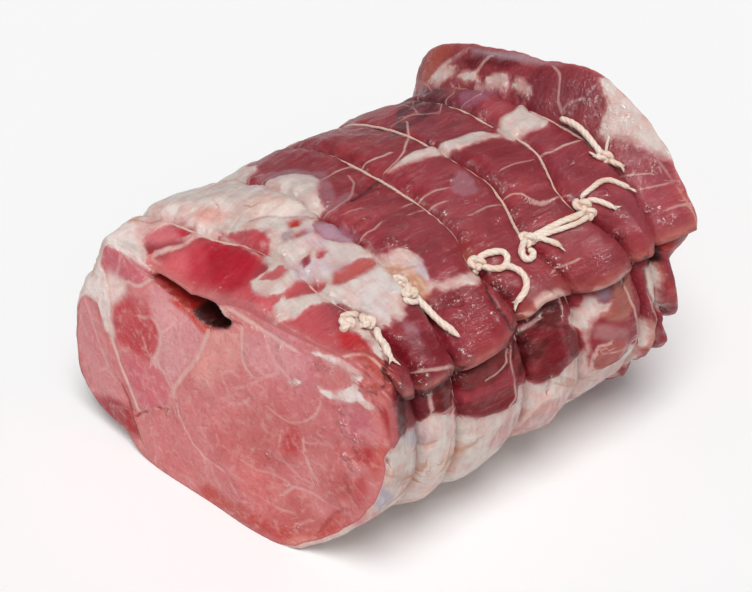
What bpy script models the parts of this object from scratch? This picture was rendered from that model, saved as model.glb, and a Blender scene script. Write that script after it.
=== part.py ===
"""A boneless pork neck, rolled and tied with six rounds of butcher's twine.

The roll lies along X, with the near cut face towards -X and the layered, fatty flank towards -Y.
It rests on the plane Z = 0, with the origin under the middle of its box.
Sizes are in millimetres and are turned to metres where vertices are placed.
"""

import math

import bmesh
import bpy
import numpy as np

MM = 0.001

# The roll. Places along it are millimetres from the middle tie's left, before the roll is centred.
AXIS_HEIGHT = 46.0
HALF_WIDTH = 68.0
HALF_HEIGHT_UP = 46.5
HALF_HEIGHT_DOWN = 43.6
NEAR_END = -66.0
FAR_END = 84.0
FACE_TILT = 0.12
FLAP_OVERHANG = 5.0
NEAR_DOME = 5.0
FAR_DOME = 3.0
FLOOR_SOFTNESS = 3.0
REST_DEPTH = 0.6
CENTRE_SHIFT = (4.48, -1.54)

# The two rims, as radii from the axis at turns round it in degrees, from the flank at -Y over the top.
NEAR_RIM_TURNS = (0, 12, 22, 27, 32, 43, 59, 85, 109, 135, 149, 157, 172, 185, 203, 212, 224, 250, 279, 307, 330, 347)
NEAR_RIM_RADII = (74, 77, 80, 67, 57, 44, 35, 32, 33, 44, 57, 61, 68, 70, 70, 67, 59, 48, 45, 52, 65, 71)
FAR_RIM_TURNS = (0, 8, 16, 22, 42, 64, 77, 85, 98, 119, 132, 144, 151, 162, 180, 225, 270, 310, 334, 347)
FAR_RIM_RADII = (56, 58, 62, 68, 66, 64, 65, 62, 59, 62, 68, 76, 80, 76, 70, 54, 44, 46, 52, 55)

# The twine, pulled tight round the roll. Each tie leans by its skew from flank to back, and its knot
# drags it along the roll by its drag, in millimetres, near the turn that its knot sits at, in degrees.
TIE_PLACES = (-48.0, -24.0, 4.5, 30.0, 56.0, 72.0)
TIE_SKEWS = (7.0, 0.0, 0.0, -1.0, 1.0, 3.0)
TIE_DRAGS = (-3.0, -0.5, -5.0, -6.5, -10.5, -10.0)
DRAG_TURNS = (55.0, 43.0, 41.0, 42.0, 46.0, 5.0)
DRAG_WIDTHS = (13.0, 10.0, 9.0, 12.0, 16.0, 35.0)
TIGHT_DIAMETER = 1.6
TIGHT_LIFT = 0.35
GROOVE_DEPTH = 2.2
GROOVE_WIDTH = 1.3
TIE_EDGE = 2.4

# The knots and the loose ends, as places along the roll in millimetres and turns round it in degrees.
LOOSE_DIAMETER = 2.4
KNOT_SIZE = (7.0, 6.0, 4.4)
LOOSE_GAP = 1.1
KNOT_GAPS = (3.1, 2.0, 2.6, 2.0, 2.7, 2.2)
KNOTS = ((-47.0, 40.5), (-24.4, 43.0), (-1.5, 40.5), (23.0, 40.5), (45.6, 41.5), (70.8, 52.0))
LOOSE_ENDS = (
    (((-47.0, 40.5), (-51.0, 42.5), (-53.0, 42.0)), ((-46.0, 40.0), (-42.5, 37.0), (-45.7, 33.0), (-49.3, 28.4))),
    (((-24.4, 43.0), (-23.5, 34.5), (-22.5, 29.5), (-21.0, 26.6)), ((-24.4, 43.0), (-28.5, 42.5), (-31.7, 40.0))),
    (((-1.5, 40.5), (3.0, 42.5), (7.7, 41.5), (10.4, 38.0), (10.2, 33.5), (7.5, 29.0), (4.7, 27.0)),),
    (((23.0, 40.5), (16.6, 39.8), (13.1, 37.5), (14.6, 35.0), (18.0, 34.6)),
     ((23.0, 40.5), (27.5, 41.0), (33.0, 40.6), (37.0, 40.0)),
     ((23.0, 40.5), (29.2, 37.4), (30.6, 34.5), (30.2, 32.0))),
    (((45.6, 41.5), (51.2, 44.0), (59.2, 45.7), (63.5, 44.7), (66.0, 41.8), (67.0, 38.7)),
     ((45.6, 41.5), (52.9, 39.1), (57.6, 36.8))),
    (((70.8, 52.0), (66.5, 52.8), (64.5, 55.0)), ((70.8, 52.0), (73.0, 48.0), (74.6, 45.6))),
)

# The open seam under the top layer, cut into the near face.
SEAM_PLACE = (-68.5, 11.0, 72.5)
SEAM_SIZE = (30.0, 40.0, 6.0)
SEAM_LEAN = -3.0

# The top layer's edge along the flank: its turn up from the flank's middle, for each stretch between ties.
LIP_TURNS = (24.0, 24.0, 22.0, 26.0, 20.0, 16.0, 12.0)

# Mesh density: cells round each quarter of the roll, and rows of cells along each stretch between two ties.
CELLS_PER_QUARTER = 14
STRETCH_ROWS = (3, 3, 4, 4, 4, 3, 1)


def smooth(t):
    t = np.clip(t, 0.0, 1.0)
    return t * t * (3.0 - 2.0 * t)


def bump(x, centre, width):
    return np.exp(-(((x - centre) / width) ** 2))


def signed_degrees(turn):
    """The turn in degrees from -180 to 180, with 0 at the middle of the flank."""
    return (np.degrees(turn) + 180.0) % 360.0 - 180.0


def rim_radius(turn, turns, radii):
    """The radius read round a rim, smoothed so that no step shows between the places it was read at."""
    shares = [np.interp(np.degrees(turn) + step, turns, radii, period=360.0) for step in (-5.0, 0.0, 5.0)]
    return (shares[0] + 2.0 * shares[1] + shares[2]) / 4.0


def girth(x, turn):
    """The roll's radius under the twine. Turn 0 is the flank at -Y, and a quarter turn on is the top."""
    across, up = np.cos(turn), np.sin(turn)
    near = np.exp(-np.clip(x - NEAR_END, 0.0, None) / 12.0)
    far = smooth((x - 70.0) / 14.0)
    half_height = np.where(up > 0, HALF_HEIGHT_UP, HALF_HEIGHT_DOWN)
    under_power = np.where(across > 0, 2.2 - 0.3 * smooth((x + 20.0) / 50.0), 2.3)
    power = np.where(up > 0, 2.45, under_power)
    middle = ((np.abs(across) / HALF_WIDTH) ** power + (np.abs(up) / half_height) ** power) ** (-1.0 / power)
    middle = middle * (1.0 - far) + far * rim_radius(turn, FAR_RIM_TURNS, FAR_RIM_RADII)
    return middle * (1.0 - near) + near * rim_radius(turn, NEAR_RIM_TURNS, NEAR_RIM_RADII)


def tie_place(i, turn):
    """Where tie i runs, along the roll, at a turn round it."""
    drag = TIE_DRAGS[i] * bump(signed_degrees(turn), DRAG_TURNS[i], DRAG_WIDTHS[i])
    return TIE_PLACES[i] + TIE_SKEWS[i] * np.cos(turn) + drag


def relief(x, turn):
    """How far the meat stands out between the ties: its swell, the top layer's lip and low lumps."""
    ties = np.array([tie_place(i, turn) + 0.0 * x for i in range(len(TIE_PLACES))])
    from_tie = np.abs(x - ties).min(axis=0)
    stretch = (x > ties).sum(axis=0)
    across, up = np.cos(turn), np.sin(turn)
    swell = 3.2 + 1.4 * across - 0.6 * up + 6.0 * np.clip(-up, 0.0, None) ** 3
    past = signed_degrees(turn) - np.array(LIP_TURNS)[stretch]
    lip = 2.4 * smooth(0.5 + past / 4.0) * np.exp(-np.clip(past, 0.0, None) / 18.0)
    tuck = 3.4 * smooth(0.5 - past / 4.0) * np.exp(-np.clip(-past, 0.0, None) / 12.0)
    lumps = 0.9 * np.sin(x / 8.0 + 3.0 * turn) + 0.7 * np.sin(x / 13.0 - 5.0 * turn)
    free = 1.0 - np.exp(-from_tie / 5.5)
    return free * (swell + lip - tuck + lumps) - GROOVE_DEPTH * bump(from_tie, 0.0, GROOVE_WIDTH)


def settled(height):
    """Heights near the floor flattened on it, as the soft meat spreads where it lies."""
    soft = FLOOR_SOFTNESS * np.exp((height - FLOOR_SOFTNESS) / FLOOR_SOFTNESS)
    height = np.where(height < FLOOR_SOFTNESS, soft, height)
    return np.maximum(height, REST_DEPTH) - REST_DEPTH


def on_roll(x, turn, radius):
    """The point at a radius, as an array with x, y and z last."""
    y = -radius * np.cos(turn)
    z = settled(AXIS_HEIGHT + radius * np.sin(turn))
    return np.stack([x + 0.0 * y, y, z], axis=-1)


def skin(x, turn):
    return on_roll(x, turn, girth(x, turn) + relief(x, turn))


def near_end(turn):
    """The near cut face's rim, which leans with the face and bellies out low on the far side."""
    across, up = np.cos(turn), np.sin(turn)
    belly = 5.0 * np.clip(-up, 0.0, None) ** 2 * (1.0 - across)
    return NEAR_END + FACE_TILT * girth(NEAR_END, turn) * across - belly


def far_end(turn):
    """The far rim, where the top layer's free end reaches past the layers under it."""
    degrees = signed_degrees(turn)
    flap = smooth((degrees - 6.0) / 8.0) * (1.0 - smooth((degrees - 140.0) / 30.0))
    return FAR_END - FLAP_OVERHANG * (1.0 - flap)


def rows_along(turn):
    """Places of the mesh's rows along the roll, one array for each row: the rims, the ties and the rows between."""
    marks = [near_end(turn)] + [tie_place(i, turn) for i in range(len(TIE_PLACES))] + [far_end(turn)]
    rows = [marks[0]]
    for start, stop, count in zip(marks, marks[1:], STRETCH_ROWS):
        edge = np.minimum(TIE_EDGE, 0.3 * (stop - start))
        shares = [j / count for j in range(count + 1)]
        rows += [(start + edge) * (1.0 - share) + (stop - edge) * share for share in shares]
        rows.append(stop)
    return rows


def square_turn(q, r):
    """The turn of a point on a square's rim, which shares each side's quarter turn out evenly."""
    if abs(q) >= abs(r):
        return math.radians(45.0 * r / -q if q < 0 else 180.0 - 45.0 * r / q)
    return math.radians(90.0 + 45.0 * q / r if r > 0 else 270.0 + 45.0 * q / r)


def ruled_block(cells_along, cells_across):
    """A cube from -1 to 1 cut into even cells, which the roll is shaped from."""
    mesh = bmesh.new()
    bmesh.ops.create_cube(mesh, size=2.0)
    lengthwise = [e for e in mesh.edges if abs(e.verts[0].co.x - e.verts[1].co.x) > 1.0]
    bmesh.ops.subdivide_edges(mesh, edges=lengthwise, cuts=cells_along - 1, use_grid_fill=True)
    crosswise = [e for e in mesh.edges if abs(e.verts[0].co.x - e.verts[1].co.x) < 0.001]
    bmesh.ops.subdivide_edges(mesh, edges=crosswise, cuts=cells_across - 1, use_grid_fill=True)
    return mesh


def placed(points):
    """Points of the roll moved so that the whole piece's box is centred, in metres."""
    return (np.asarray(points) - [CENTRE_SHIFT[0], CENTRE_SHIFT[1], 0.0]) * MM


def finish(obj, collection, material):
    for old in list(obj.users_collection):
        old.objects.unlink(obj)
    collection.objects.link(obj)
    obj.data.materials.clear()
    obj.data.materials.append(material)
    obj.data.shade_smooth()
    return obj


def new_material(name, colour, roughness):
    material = bpy.data.materials.new(name)
    material.use_nodes = True
    shader = material.node_tree.nodes["Principled BSDF"]
    shader.inputs["Base Color"].default_value = (*colour, 1.0)
    shader.inputs["Roughness"].default_value = roughness
    material.diffuse_color = (*colour, 1.0)
    return material


def mesh_object(name, mesh, collection):
    data = bpy.data.meshes.new(name)
    mesh.to_mesh(data)
    mesh.free()
    obj = bpy.data.objects.new(name, data)
    collection.objects.link(obj)
    return obj


def apply_modifiers(obj):
    """The object's mesh with its modifiers worked in."""
    bpy.context.view_layer.update()
    evaluated = obj.evaluated_get(bpy.context.evaluated_depsgraph_get())
    data = bpy.data.meshes.new_from_object(evaluated)
    obj.modifiers.clear()
    obj.data = data


def make_meat(collection, cutters, material):
    rows = len(rows_along(np.zeros(1)))
    mesh = ruled_block(rows - 1, CELLS_PER_QUARTER)
    verts = list(mesh.verts)
    block = np.array([v.co[:] for v in verts])
    reach = np.maximum(np.abs(block[:, 1]), np.abs(block[:, 2]))
    turn = np.array([square_turn(q, r) if max(abs(q), abs(r)) > 1e-6 else 0.0 for _, q, r in block])
    row = np.round((block[:, 0] + 1.0) / 2.0 * (rows - 1)).astype(int)
    x = np.stack(rows_along(turn))[row, np.arange(len(turn))]
    points = skin(x, turn)
    inside = reach < 0.999
    middle = np.array([0.0, 0.0, AXIS_HEIGHT - 6.0])
    for end, centre_x, dome in ((block[:, 0] < 0, NEAR_END, -NEAR_DOME), (block[:, 0] > 0, FAR_END - 4.0, FAR_DOME)):
        face = inside & end
        m = reach[face][:, None]
        centre = middle + [centre_x, 0.0, 0.0]
        flat = centre * (1.0 - m) + points[face] * m
        flat[:, 0] += dome * (1.0 - m[:, 0] ** 2)
        points[face] = flat
    for vert, point in zip(verts, placed(points)):
        vert.co = point
    meat = mesh_object("meat", mesh, collection)

    seam = bmesh.new()
    bmesh.ops.create_uvsphere(seam, u_segments=20, v_segments=10, radius=0.5)
    for vert in seam.verts:
        vert.co = [a * b * MM for a, b in zip(vert.co, SEAM_SIZE)]
    cutter = mesh_object("open_seam", seam, cutters)
    cutter.location = placed(SEAM_PLACE)
    cutter.rotation_euler = (math.radians(SEAM_LEAN), 0.0, 0.0)
    cutter.hide_render = True
    cutter.display_type = "WIRE"
    cut = meat.modifiers.new("open_seam", "BOOLEAN")
    cut.operation = "DIFFERENCE"
    cut.solver = "EXACT"
    cut.object = cutter
    apply_modifiers(meat)
    return finish(meat, collection, material)


def tube(name, points, diameter, cyclic, collection):
    """A round cord along points, as a closed mesh."""
    curve = bpy.data.curves.new(name, "CURVE")
    curve.dimensions = "3D"
    curve.bevel_depth = diameter / 2.0 * MM
    curve.bevel_resolution = 2
    curve.use_fill_caps = not cyclic
    spline = curve.splines.new("POLY")
    spline.points.add(len(points) - 1)
    for knot, point in zip(spline.points, placed(points)):
        knot.co = (*point, 1.0)
    spline.use_cyclic_u = cyclic
    path = bpy.data.objects.new(name, curve)
    collection.objects.link(path)
    bpy.context.view_layer.update()
    data = bpy.data.meshes.new_from_object(path.evaluated_get(bpy.context.evaluated_depsgraph_get()))
    bpy.data.objects.remove(path, do_unlink=True)
    clean = bmesh.new()
    clean.from_mesh(data)
    bmesh.ops.remove_doubles(clean, verts=clean.verts, dist=0.00001)
    bmesh.ops.recalc_face_normals(clean, faces=clean.faces)
    clean.to_mesh(data)
    clean.free()
    obj = bpy.data.objects.new(name, data)
    collection.objects.link(obj)
    return obj


def tie_path(i):
    """The loop of tie i in its groove, lifted where its knot sits."""
    turn = np.radians(np.arange(4 * CELLS_PER_QUARTER) * 90.0 / CELLS_PER_QUARTER)
    x = tie_place(i, turn)
    lift = TIGHT_LIFT + (KNOT_GAPS[i] + 0.6) * bump(signed_degrees(turn), KNOTS[i][1], 5.0)
    radius = np.maximum(girth(x - TIGHT_DIAMETER, turn), girth(x + TIGHT_DIAMETER, turn))
    y = -(radius + lift) * np.cos(turn)
    z = settled(AXIS_HEIGHT + (radius - GROOVE_DEPTH) * np.sin(turn)) + np.sin(turn) * (GROOVE_DEPTH + lift)
    return np.stack([x, y, np.maximum(z, REST_DEPTH + 1.2)], axis=-1)


def loose_path(marks):
    """A loose end lying over the meat, through places along the roll and turns round it."""
    x = np.array([mark[0] for mark in marks])
    turn = np.radians([mark[1] for mark in marks])
    radius = girth(x, turn) + np.maximum(relief(x, turn), 1.0) + LOOSE_DIAMETER / 2.0 + LOOSE_GAP
    return on_roll(x, turn, radius)


def make_tie(i, collection, material):
    name = "tie_" + str(i + 1)
    loop = tube(name, tie_path(i), TIGHT_DIAMETER, True, collection)
    joined = bpy.data.collections.new(name + "_joined")
    bpy.context.scene.collection.children.link(joined)

    x, turn = KNOTS[i][0], math.radians(KNOTS[i][1])
    lump = bmesh.new()
    bmesh.ops.create_uvsphere(lump, u_segments=10, v_segments=6, radius=0.5)
    for vert in lump.verts:
        vert.co = [a * b * MM for a, b in zip(vert.co, KNOT_SIZE)]
    knot = mesh_object(name + "_knot", lump, joined)
    radius = girth(x, turn) + KNOT_SIZE[2] / 2.0 + KNOT_GAPS[i]
    knot.location = placed(on_roll(np.array(x), turn, radius))
    knot.rotation_euler = (math.pi / 2.0 - turn, 0.0, 0.0)
    for j, marks in enumerate(LOOSE_ENDS[i]):
        tube(name + "_end_" + str(j), loose_path(marks), LOOSE_DIAMETER, False, joined)

    union = loop.modifiers.new("joined", "BOOLEAN")
    union.operation = "UNION"
    union.solver = "EXACT"
    union.operand_type = "COLLECTION"
    union.collection = joined
    apply_modifiers(loop)
    for old in list(joined.objects):
        bpy.data.objects.remove(old, do_unlink=True)
    bpy.data.collections.remove(joined)
    return finish(loop, collection, material)


def build():
    for old in list(bpy.data.objects):
        bpy.data.objects.remove(old, do_unlink=True)
    collection = bpy.data.collections.new("boneless_pork_neck")
    cutters = bpy.data.collections.new("cutters")
    bpy.context.scene.collection.children.link(collection)
    bpy.context.scene.collection.children.link(cutters)
    make_meat(collection, cutters, new_material("raw_meat", (0.45, 0.12, 0.13), 0.4))
    for i in range(len(TIE_PLACES)):
        make_tie(i, collection, new_material("twine_" + str(i + 1), (0.8, 0.66, 0.48), 0.8))


build()
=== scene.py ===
"""The looks of a boneless pork neck, rolled and tied with butcher's twine.

The meat is one closed mesh, shaped by the named values of its solid and finer. Its fat, membranes, seams
and creases are read off the photograph as outlines in pixels, carried onto the meat by the camera's rays,
and kept as attributes, which hold distances in millimetres for the materials. Creases, gaps, the inside of
the open seam, the meat under the top layer's edge and the flank's fat low down are painted darker as
painted shade, and glints and a few lit rims and edges are painted lighter as painted highlights.
Lengths are in millimetres and are turned to metres where points are placed. Turns go round the roll from 0
at the middle of the flank, at -Y, over the top, in radians where they are called turn and else in degrees.
"""

import math

import bmesh
import bpy
import numpy as np
from mathutils import Matrix, Vector, noise
from mathutils.bvhtree import BVHTree


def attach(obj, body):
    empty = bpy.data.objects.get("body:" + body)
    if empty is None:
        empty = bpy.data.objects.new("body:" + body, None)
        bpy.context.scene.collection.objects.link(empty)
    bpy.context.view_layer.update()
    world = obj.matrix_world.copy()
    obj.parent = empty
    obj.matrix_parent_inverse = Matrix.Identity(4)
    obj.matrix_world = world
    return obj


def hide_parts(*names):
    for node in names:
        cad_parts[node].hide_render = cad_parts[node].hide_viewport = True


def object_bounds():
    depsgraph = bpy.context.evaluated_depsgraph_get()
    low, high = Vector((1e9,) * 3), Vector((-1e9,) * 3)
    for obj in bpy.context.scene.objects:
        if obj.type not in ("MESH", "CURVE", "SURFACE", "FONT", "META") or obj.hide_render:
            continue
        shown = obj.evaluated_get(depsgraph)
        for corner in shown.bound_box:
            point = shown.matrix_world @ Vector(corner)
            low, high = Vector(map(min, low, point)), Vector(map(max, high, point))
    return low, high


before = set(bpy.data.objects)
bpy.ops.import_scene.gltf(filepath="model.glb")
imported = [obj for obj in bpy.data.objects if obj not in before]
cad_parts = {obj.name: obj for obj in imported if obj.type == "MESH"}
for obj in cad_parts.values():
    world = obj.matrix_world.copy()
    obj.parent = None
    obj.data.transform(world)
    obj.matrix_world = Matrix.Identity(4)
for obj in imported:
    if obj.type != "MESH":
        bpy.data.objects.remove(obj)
cad_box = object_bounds()

MM = 0.001

# The roll, with the values that its solid has, apart from a finer near rim and finer grooves.
AXIS_HEIGHT = 46.0
HALF_WIDTH = 68.0
HALF_HEIGHT_UP = 46.5
HALF_HEIGHT_DOWN = 43.6
TOP_SQUARENESS = 2.45
BACK_SQUARENESS = 2.3
FLANK_SQUARENESS = 2.2
FLANK_EASING = 0.3
NEAR_END = -66.0
FAR_END = 84.0
NEAR_BLEND = 12.0
FAR_BLEND = 14.0
FAR_BLEND_START = 70.0
FACE_TILT = 0.12
BELLY_DEPTH = 5.0
CHIN_DEPTH = 3.9
CHIN_TURN = 298.0
CHIN_WIDTH = 24.0
FLAP_OVERHANG = 5.0
FLAP_START = 6.0
FLAP_STOP = 140.0
NEAR_DOME = 5.0
FAR_DOME = 3.0
FACE_CENTRE_DROP = 6.0
FAR_CENTRE_INSET = 4.0
FLOOR_SOFTNESS = 3.0
REST_DEPTH = 0.6
CENTRE_SHIFT = np.array([4.48, -1.54, 0.0])
NEAR_RIM_TURNS = (
    0, 12, 22, 27, 32, 37, 43, 50, 59, 73, 85, 109, 129, 135, 141, 146, 149, 157, 172, 185, 203, 212, 218.5,
    223, 228, 235, 250, 279, 307, 330, 347)
NEAR_RIM_RADII = (
    69.5, 77, 82, 82, 73, 59, 48, 41, 36, 33, 31, 33, 41, 46, 53, 59.5, 59.5, 59, 64, 68, 71, 66, 58.8,
    53.6, 53.5, 52, 48, 45, 51, 58.5, 62.5)
NEAR_RIM_SOFTNESS = 2.5
FAR_RIM_TURNS = (0, 8, 16, 22, 42, 64, 77, 85, 98, 119, 132, 144, 151, 162, 180, 225, 270, 310, 334, 347)
FAR_RIM_RADII = (56, 58, 62, 68, 66, 64, 65, 62, 59, 62, 68, 76, 80, 76, 70, 54, 44, 46, 52, 55)
FAR_RIM_SOFTNESS = 5.0
TIE_PLACES = (-48.0, -24.0, 4.5, 30.0, 56.0, 72.0)
TIE_SKEWS = (7.0, 0.0, 0.0, -1.0, 1.0, 3.0)
TIE_DRAGS = (-3.0, -0.5, -5.0, -6.5, -10.5, -10.0)
DRAG_TURNS = (55.0, 43.0, 41.0, 42.0, 46.0, 5.0)
DRAG_WIDTHS = (13.0, 10.0, 9.0, 12.0, 16.0, 35.0)
GROOVE_DEPTH = 2.6
GROOVE_WIDTH = 1.1

# The meat's bulge between two ties: in all, more on the flank, less on the top and more underneath.
BULGE = 3.2
BULGE_ON_FLANK = 1.4
BULGE_OFF_TOP = 0.6
BULGE_UNDERNEATH = 6.0
BULGE_START = 5.5
TIGHTER_START = 3.4
# Waves over it: height, length along the roll and waves round it.
WAVES = ((0.9, 8.0, 3.0), (0.7, 13.0, -5.0))
# A dent behind the near rim: depth, place, length, turn and width.
BACK_DENT = (2.5, -56.0, 10.0, 118.0, 18.0)
# Clefts by the far end: depth, turn, its drift with each millimetre, width, start and run-in.
FAR_CLEFTS = ((8.0, -1.0, -1.25, 4.0, 66.5, 3.5), (3.0, -18.0, 0.0, 6.0, 58.0, 4.0),
              (5.5, 12.5, 0.0, 4.5, 71.0, 4.0))

# The mesh: cells on each side of the block that it is shaped from, and the turns where those sides meet.
CELLS_ACROSS = 110
SIDE_TURNS = (-62.0, 42.0, 150.0, 215.0, 298.0)
ROW_STEPS = (0.0, 0.35, 0.75, 1.3, 2.1)
ROW_STEPS_REACH = 0.2
STRETCH_ROWS = (11, 17, 20, 18, 18, 10, 7)
RIM_ROUNDING = 1.6

# How far the top layer's free edge stands out on the flank, and how far the meat falls back under it.
LIP_RISE = 2.2
LIP_TUCK = 3.4
LIP_SHARE = 0.8
LIP_START = -61.0
LIP_RUN_IN = 16.0
LIP_LIMITS = (6.0, 30.0)
FIRST_LIP_TURN = 18.0
OPENING_DEPTH = 13.0

# The photograph's camera, in its own pixels and millimetres.
PHOTO_SIZE = (752.0, 592.0)
CAMERA_AZIMUTH = -41.0
CAMERA_ELEVATION = 35.0
CAMERA_DISTANCE = 700.0
CAMERA_FOCAL = 2090.0
CAMERA_TARGET = np.array([0.0, 0.0, 45.0])
CAMERA_DROP = 12.0
SENSOR_WIDTH = 36.0
PIXELS_IN_MM = 3.0

# What a mark reads where there is none.
NO_MARK = 9.0


def smooth(t):
    t = np.clip(t, 0.0, 1.0)
    return t * t * (3.0 - 2.0 * t)


def bump(x, centre, width):
    return np.exp(-(((x - centre) / width) ** 2))


def signed_degrees(turn):
    """The turn in degrees from -180 to 180, with 0 at the middle of the flank."""
    return (np.degrees(turn) + 180.0) % 360.0 - 180.0


def read_softly(at, places, values, softness, period=None):
    """A table's value at each place, with the table's corners rounded."""
    shares = [np.interp(at + step, places, values, period=period) for step in (-softness, 0.0, softness)]
    return (shares[0] + 2.0 * shares[1] + shares[2]) / 4.0


def girth(x, turn):
    """The roll's radius under the twine."""
    across, up = np.cos(turn), np.sin(turn)
    near = np.exp(-np.clip(x - NEAR_END, 0.0, None) / NEAR_BLEND)
    far = smooth((x - FAR_BLEND_START) / FAR_BLEND)
    half_height = np.where(up > 0, HALF_HEIGHT_UP, HALF_HEIGHT_DOWN)
    flank_power = FLANK_SQUARENESS - FLANK_EASING * smooth((x + 20.0) / 50.0)
    power = np.where(up > 0, TOP_SQUARENESS, np.where(across > 0, flank_power, BACK_SQUARENESS))
    middle = (np.abs(across) / HALF_WIDTH) ** power + (np.abs(up) / half_height) ** power
    middle = middle ** (-1.0 / power)
    degrees = np.degrees(turn)
    far_rim = read_softly(degrees, FAR_RIM_TURNS, FAR_RIM_RADII, FAR_RIM_SOFTNESS, 360.0)
    near_rim = read_softly(degrees, NEAR_RIM_TURNS, NEAR_RIM_RADII, NEAR_RIM_SOFTNESS, 360.0)
    middle = middle * (1.0 - far) + far * far_rim
    return middle * (1.0 - near) + near * near_rim


def tie_place(i, turn):
    drag = TIE_DRAGS[i] * bump(signed_degrees(turn), DRAG_TURNS[i], DRAG_WIDTHS[i])
    return TIE_PLACES[i] + TIE_SKEWS[i] * np.cos(turn) + drag


def from_nearest_tie(x, turn):
    places = [tie_place(i, turn) + 0.0 * x for i in range(len(TIE_PLACES))]
    return np.abs(x - np.array(places)).min(axis=0)


def tightness(up):
    """How tightly the twine presses, from 0 on the flanks to 1 on the top."""
    return smooth((up - 0.2) / 0.75)


def swell(x, turn):
    """How far the meat bulges between the ties, without its layers."""
    away = from_nearest_tie(x, turn)
    across, up = np.cos(turn), np.sin(turn)
    bulge = BULGE + BULGE_ON_FLANK * across - BULGE_OFF_TOP * up
    bulge = bulge + BULGE_UNDERNEATH * np.clip(-up, 0.0, None) ** 3
    waves = sum(height * np.sin(x / length + rounds * turn) for height, length, rounds in WAVES)
    tight = tightness(up)
    free = 1.0 - np.exp(-away / (BULGE_START - TIGHTER_START * tight))
    full = free * (bulge + waves) - GROOVE_DEPTH * (1.0 - 0.5 * tight) * bump(away, 0.0, GROOVE_WIDTH)
    degrees = signed_degrees(turn)
    depth, place, length, centre, width = BACK_DENT
    full = full - depth * bump(x, place, length) * bump(degrees, centre, width)
    for depth, centre, drift, width, start, run_in in FAR_CLEFTS:
        cleft = depth * bump(degrees, centre + drift * (x - FAR_BLEND_START), width)
        full = full - cleft * smooth((x - start) / run_in)
    return full


def settled(height):
    """Heights near the floor flattened on it, as the soft meat spreads where it lies."""
    soft = FLOOR_SOFTNESS * np.exp((height - FLOOR_SOFTNESS) / FLOOR_SOFTNESS)
    height = np.where(height < FLOOR_SOFTNESS, soft, height)
    return np.maximum(height, REST_DEPTH) - REST_DEPTH


def on_roll(x, turn, radius):
    y = -radius * np.cos(turn)
    z = settled(AXIS_HEIGHT + radius * np.sin(turn))
    return np.stack([x + 0.0 * y, y, z], axis=-1)


def near_end(turn):
    """The near cut face's rim, which leans with the face and bellies out low on the far side."""
    across, up = np.cos(turn), np.sin(turn)
    belly = BELLY_DEPTH * np.clip(-up, 0.0, None) ** 2 * (1.0 - across)
    chin = CHIN_DEPTH * bump(np.degrees(turn) % 360.0, CHIN_TURN, CHIN_WIDTH)
    return NEAR_END + FACE_TILT * girth(NEAR_END, turn) * across - belly - chin


def far_end(turn):
    """The far rim, where the top layer's free end reaches past the layers under it."""
    degrees = signed_degrees(turn)
    flap = smooth((degrees - FLAP_START) / 8.0) * (1.0 - smooth((degrees - FLAP_STOP) / 30.0))
    return FAR_END - FLAP_OVERHANG * (1.0 - flap)


# Places round the roll are also counted in millimetres of arc from the middle of the flank, at mid-length.
ARC_START = -130.0
ARC_TURNS = np.arange(ARC_START, ARC_START + 361.0, 1.0)
ARC_PLACE = 10.0
arc_radii = girth(ARC_PLACE + 0.0 * ARC_TURNS, np.radians(ARC_TURNS)) + 3.0
arc_steps = np.hypot(np.diff(arc_radii), arc_radii[:-1] * math.radians(1.0))
ARC_LENGTHS = np.concatenate([[0.0], np.cumsum(arc_steps)])
ARC_LENGTHS -= np.interp(0.0, ARC_TURNS, ARC_LENGTHS)


def arc(degrees):
    return np.interp((np.asarray(degrees) - ARC_START) % 360.0 + ARC_START, ARC_TURNS, ARC_LENGTHS)


# The camera's rays, which carry a pixel of the photograph onto the meat.
azimuth, elevation = math.radians(CAMERA_AZIMUTH), math.radians(CAMERA_ELEVATION)
CAMERA_BACK = np.array([math.sin(azimuth) * math.cos(elevation),
                        -math.cos(azimuth) * math.cos(elevation), math.sin(elevation)])
CAMERA_PLACE = CAMERA_TARGET + CAMERA_DISTANCE * CAMERA_BACK
CAMERA_RIGHT = np.cross(-CAMERA_BACK, [0.0, 0.0, 1.0])
CAMERA_RIGHT /= np.linalg.norm(CAMERA_RIGHT)
CAMERA_UP = np.cross(CAMERA_RIGHT, -CAMERA_BACK)
RAY_REACH = np.linspace(500.0, 860.0, 1801)
OUT_OF_REACH = 500.0
# How far past the ends, and past the face's rim as a share of its radius, a ray may still meet the meat.
PAST_NEAR_END = 12.0
PAST_FAR_END = 4.0
PAST_RIM = 1.25
LEAN_PAST_RIM = 1.2


def ray(pixel):
    across = (pixel[0] - PHOTO_SIZE[0] / 2.0) / CAMERA_FOCAL
    down = (pixel[1] - PHOTO_SIZE[1] / 2.0 - CAMERA_DROP) / CAMERA_FOCAL
    way = -CAMERA_BACK + CAMERA_RIGHT * across - CAMERA_UP * down
    return way / np.linalg.norm(way)


def along_ray(pixel):
    """Places along a pixel's ray, with their turns round the roll and their distances from its axis."""
    points = CAMERA_PLACE + RAY_REACH[:, None] * ray(pixel)
    rise = points[:, 2] - AXIS_HEIGHT
    return points, np.arctan2(rise, -points[:, 1]), np.hypot(points[:, 1], rise)


def on_skin(pixels):
    """Pixels carried onto the roll's skin, as places along it and arcs round it."""
    places = []
    for pixel in pixels:
        points, turn, distance = along_ray(pixel)
        x = points[:, 0]
        height = distance - girth(x, turn) - swell(x, turn)
        height[(x < NEAR_END - PAST_NEAR_END) | (x > FAR_END + PAST_FAR_END)] += OUT_OF_REACH
        inside = height < 0.0
        at = inside.argmax() if inside.any() else height.argmin()
        places.append((x[at], arc(math.degrees(turn[at]))))
    return np.array(places)


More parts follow.
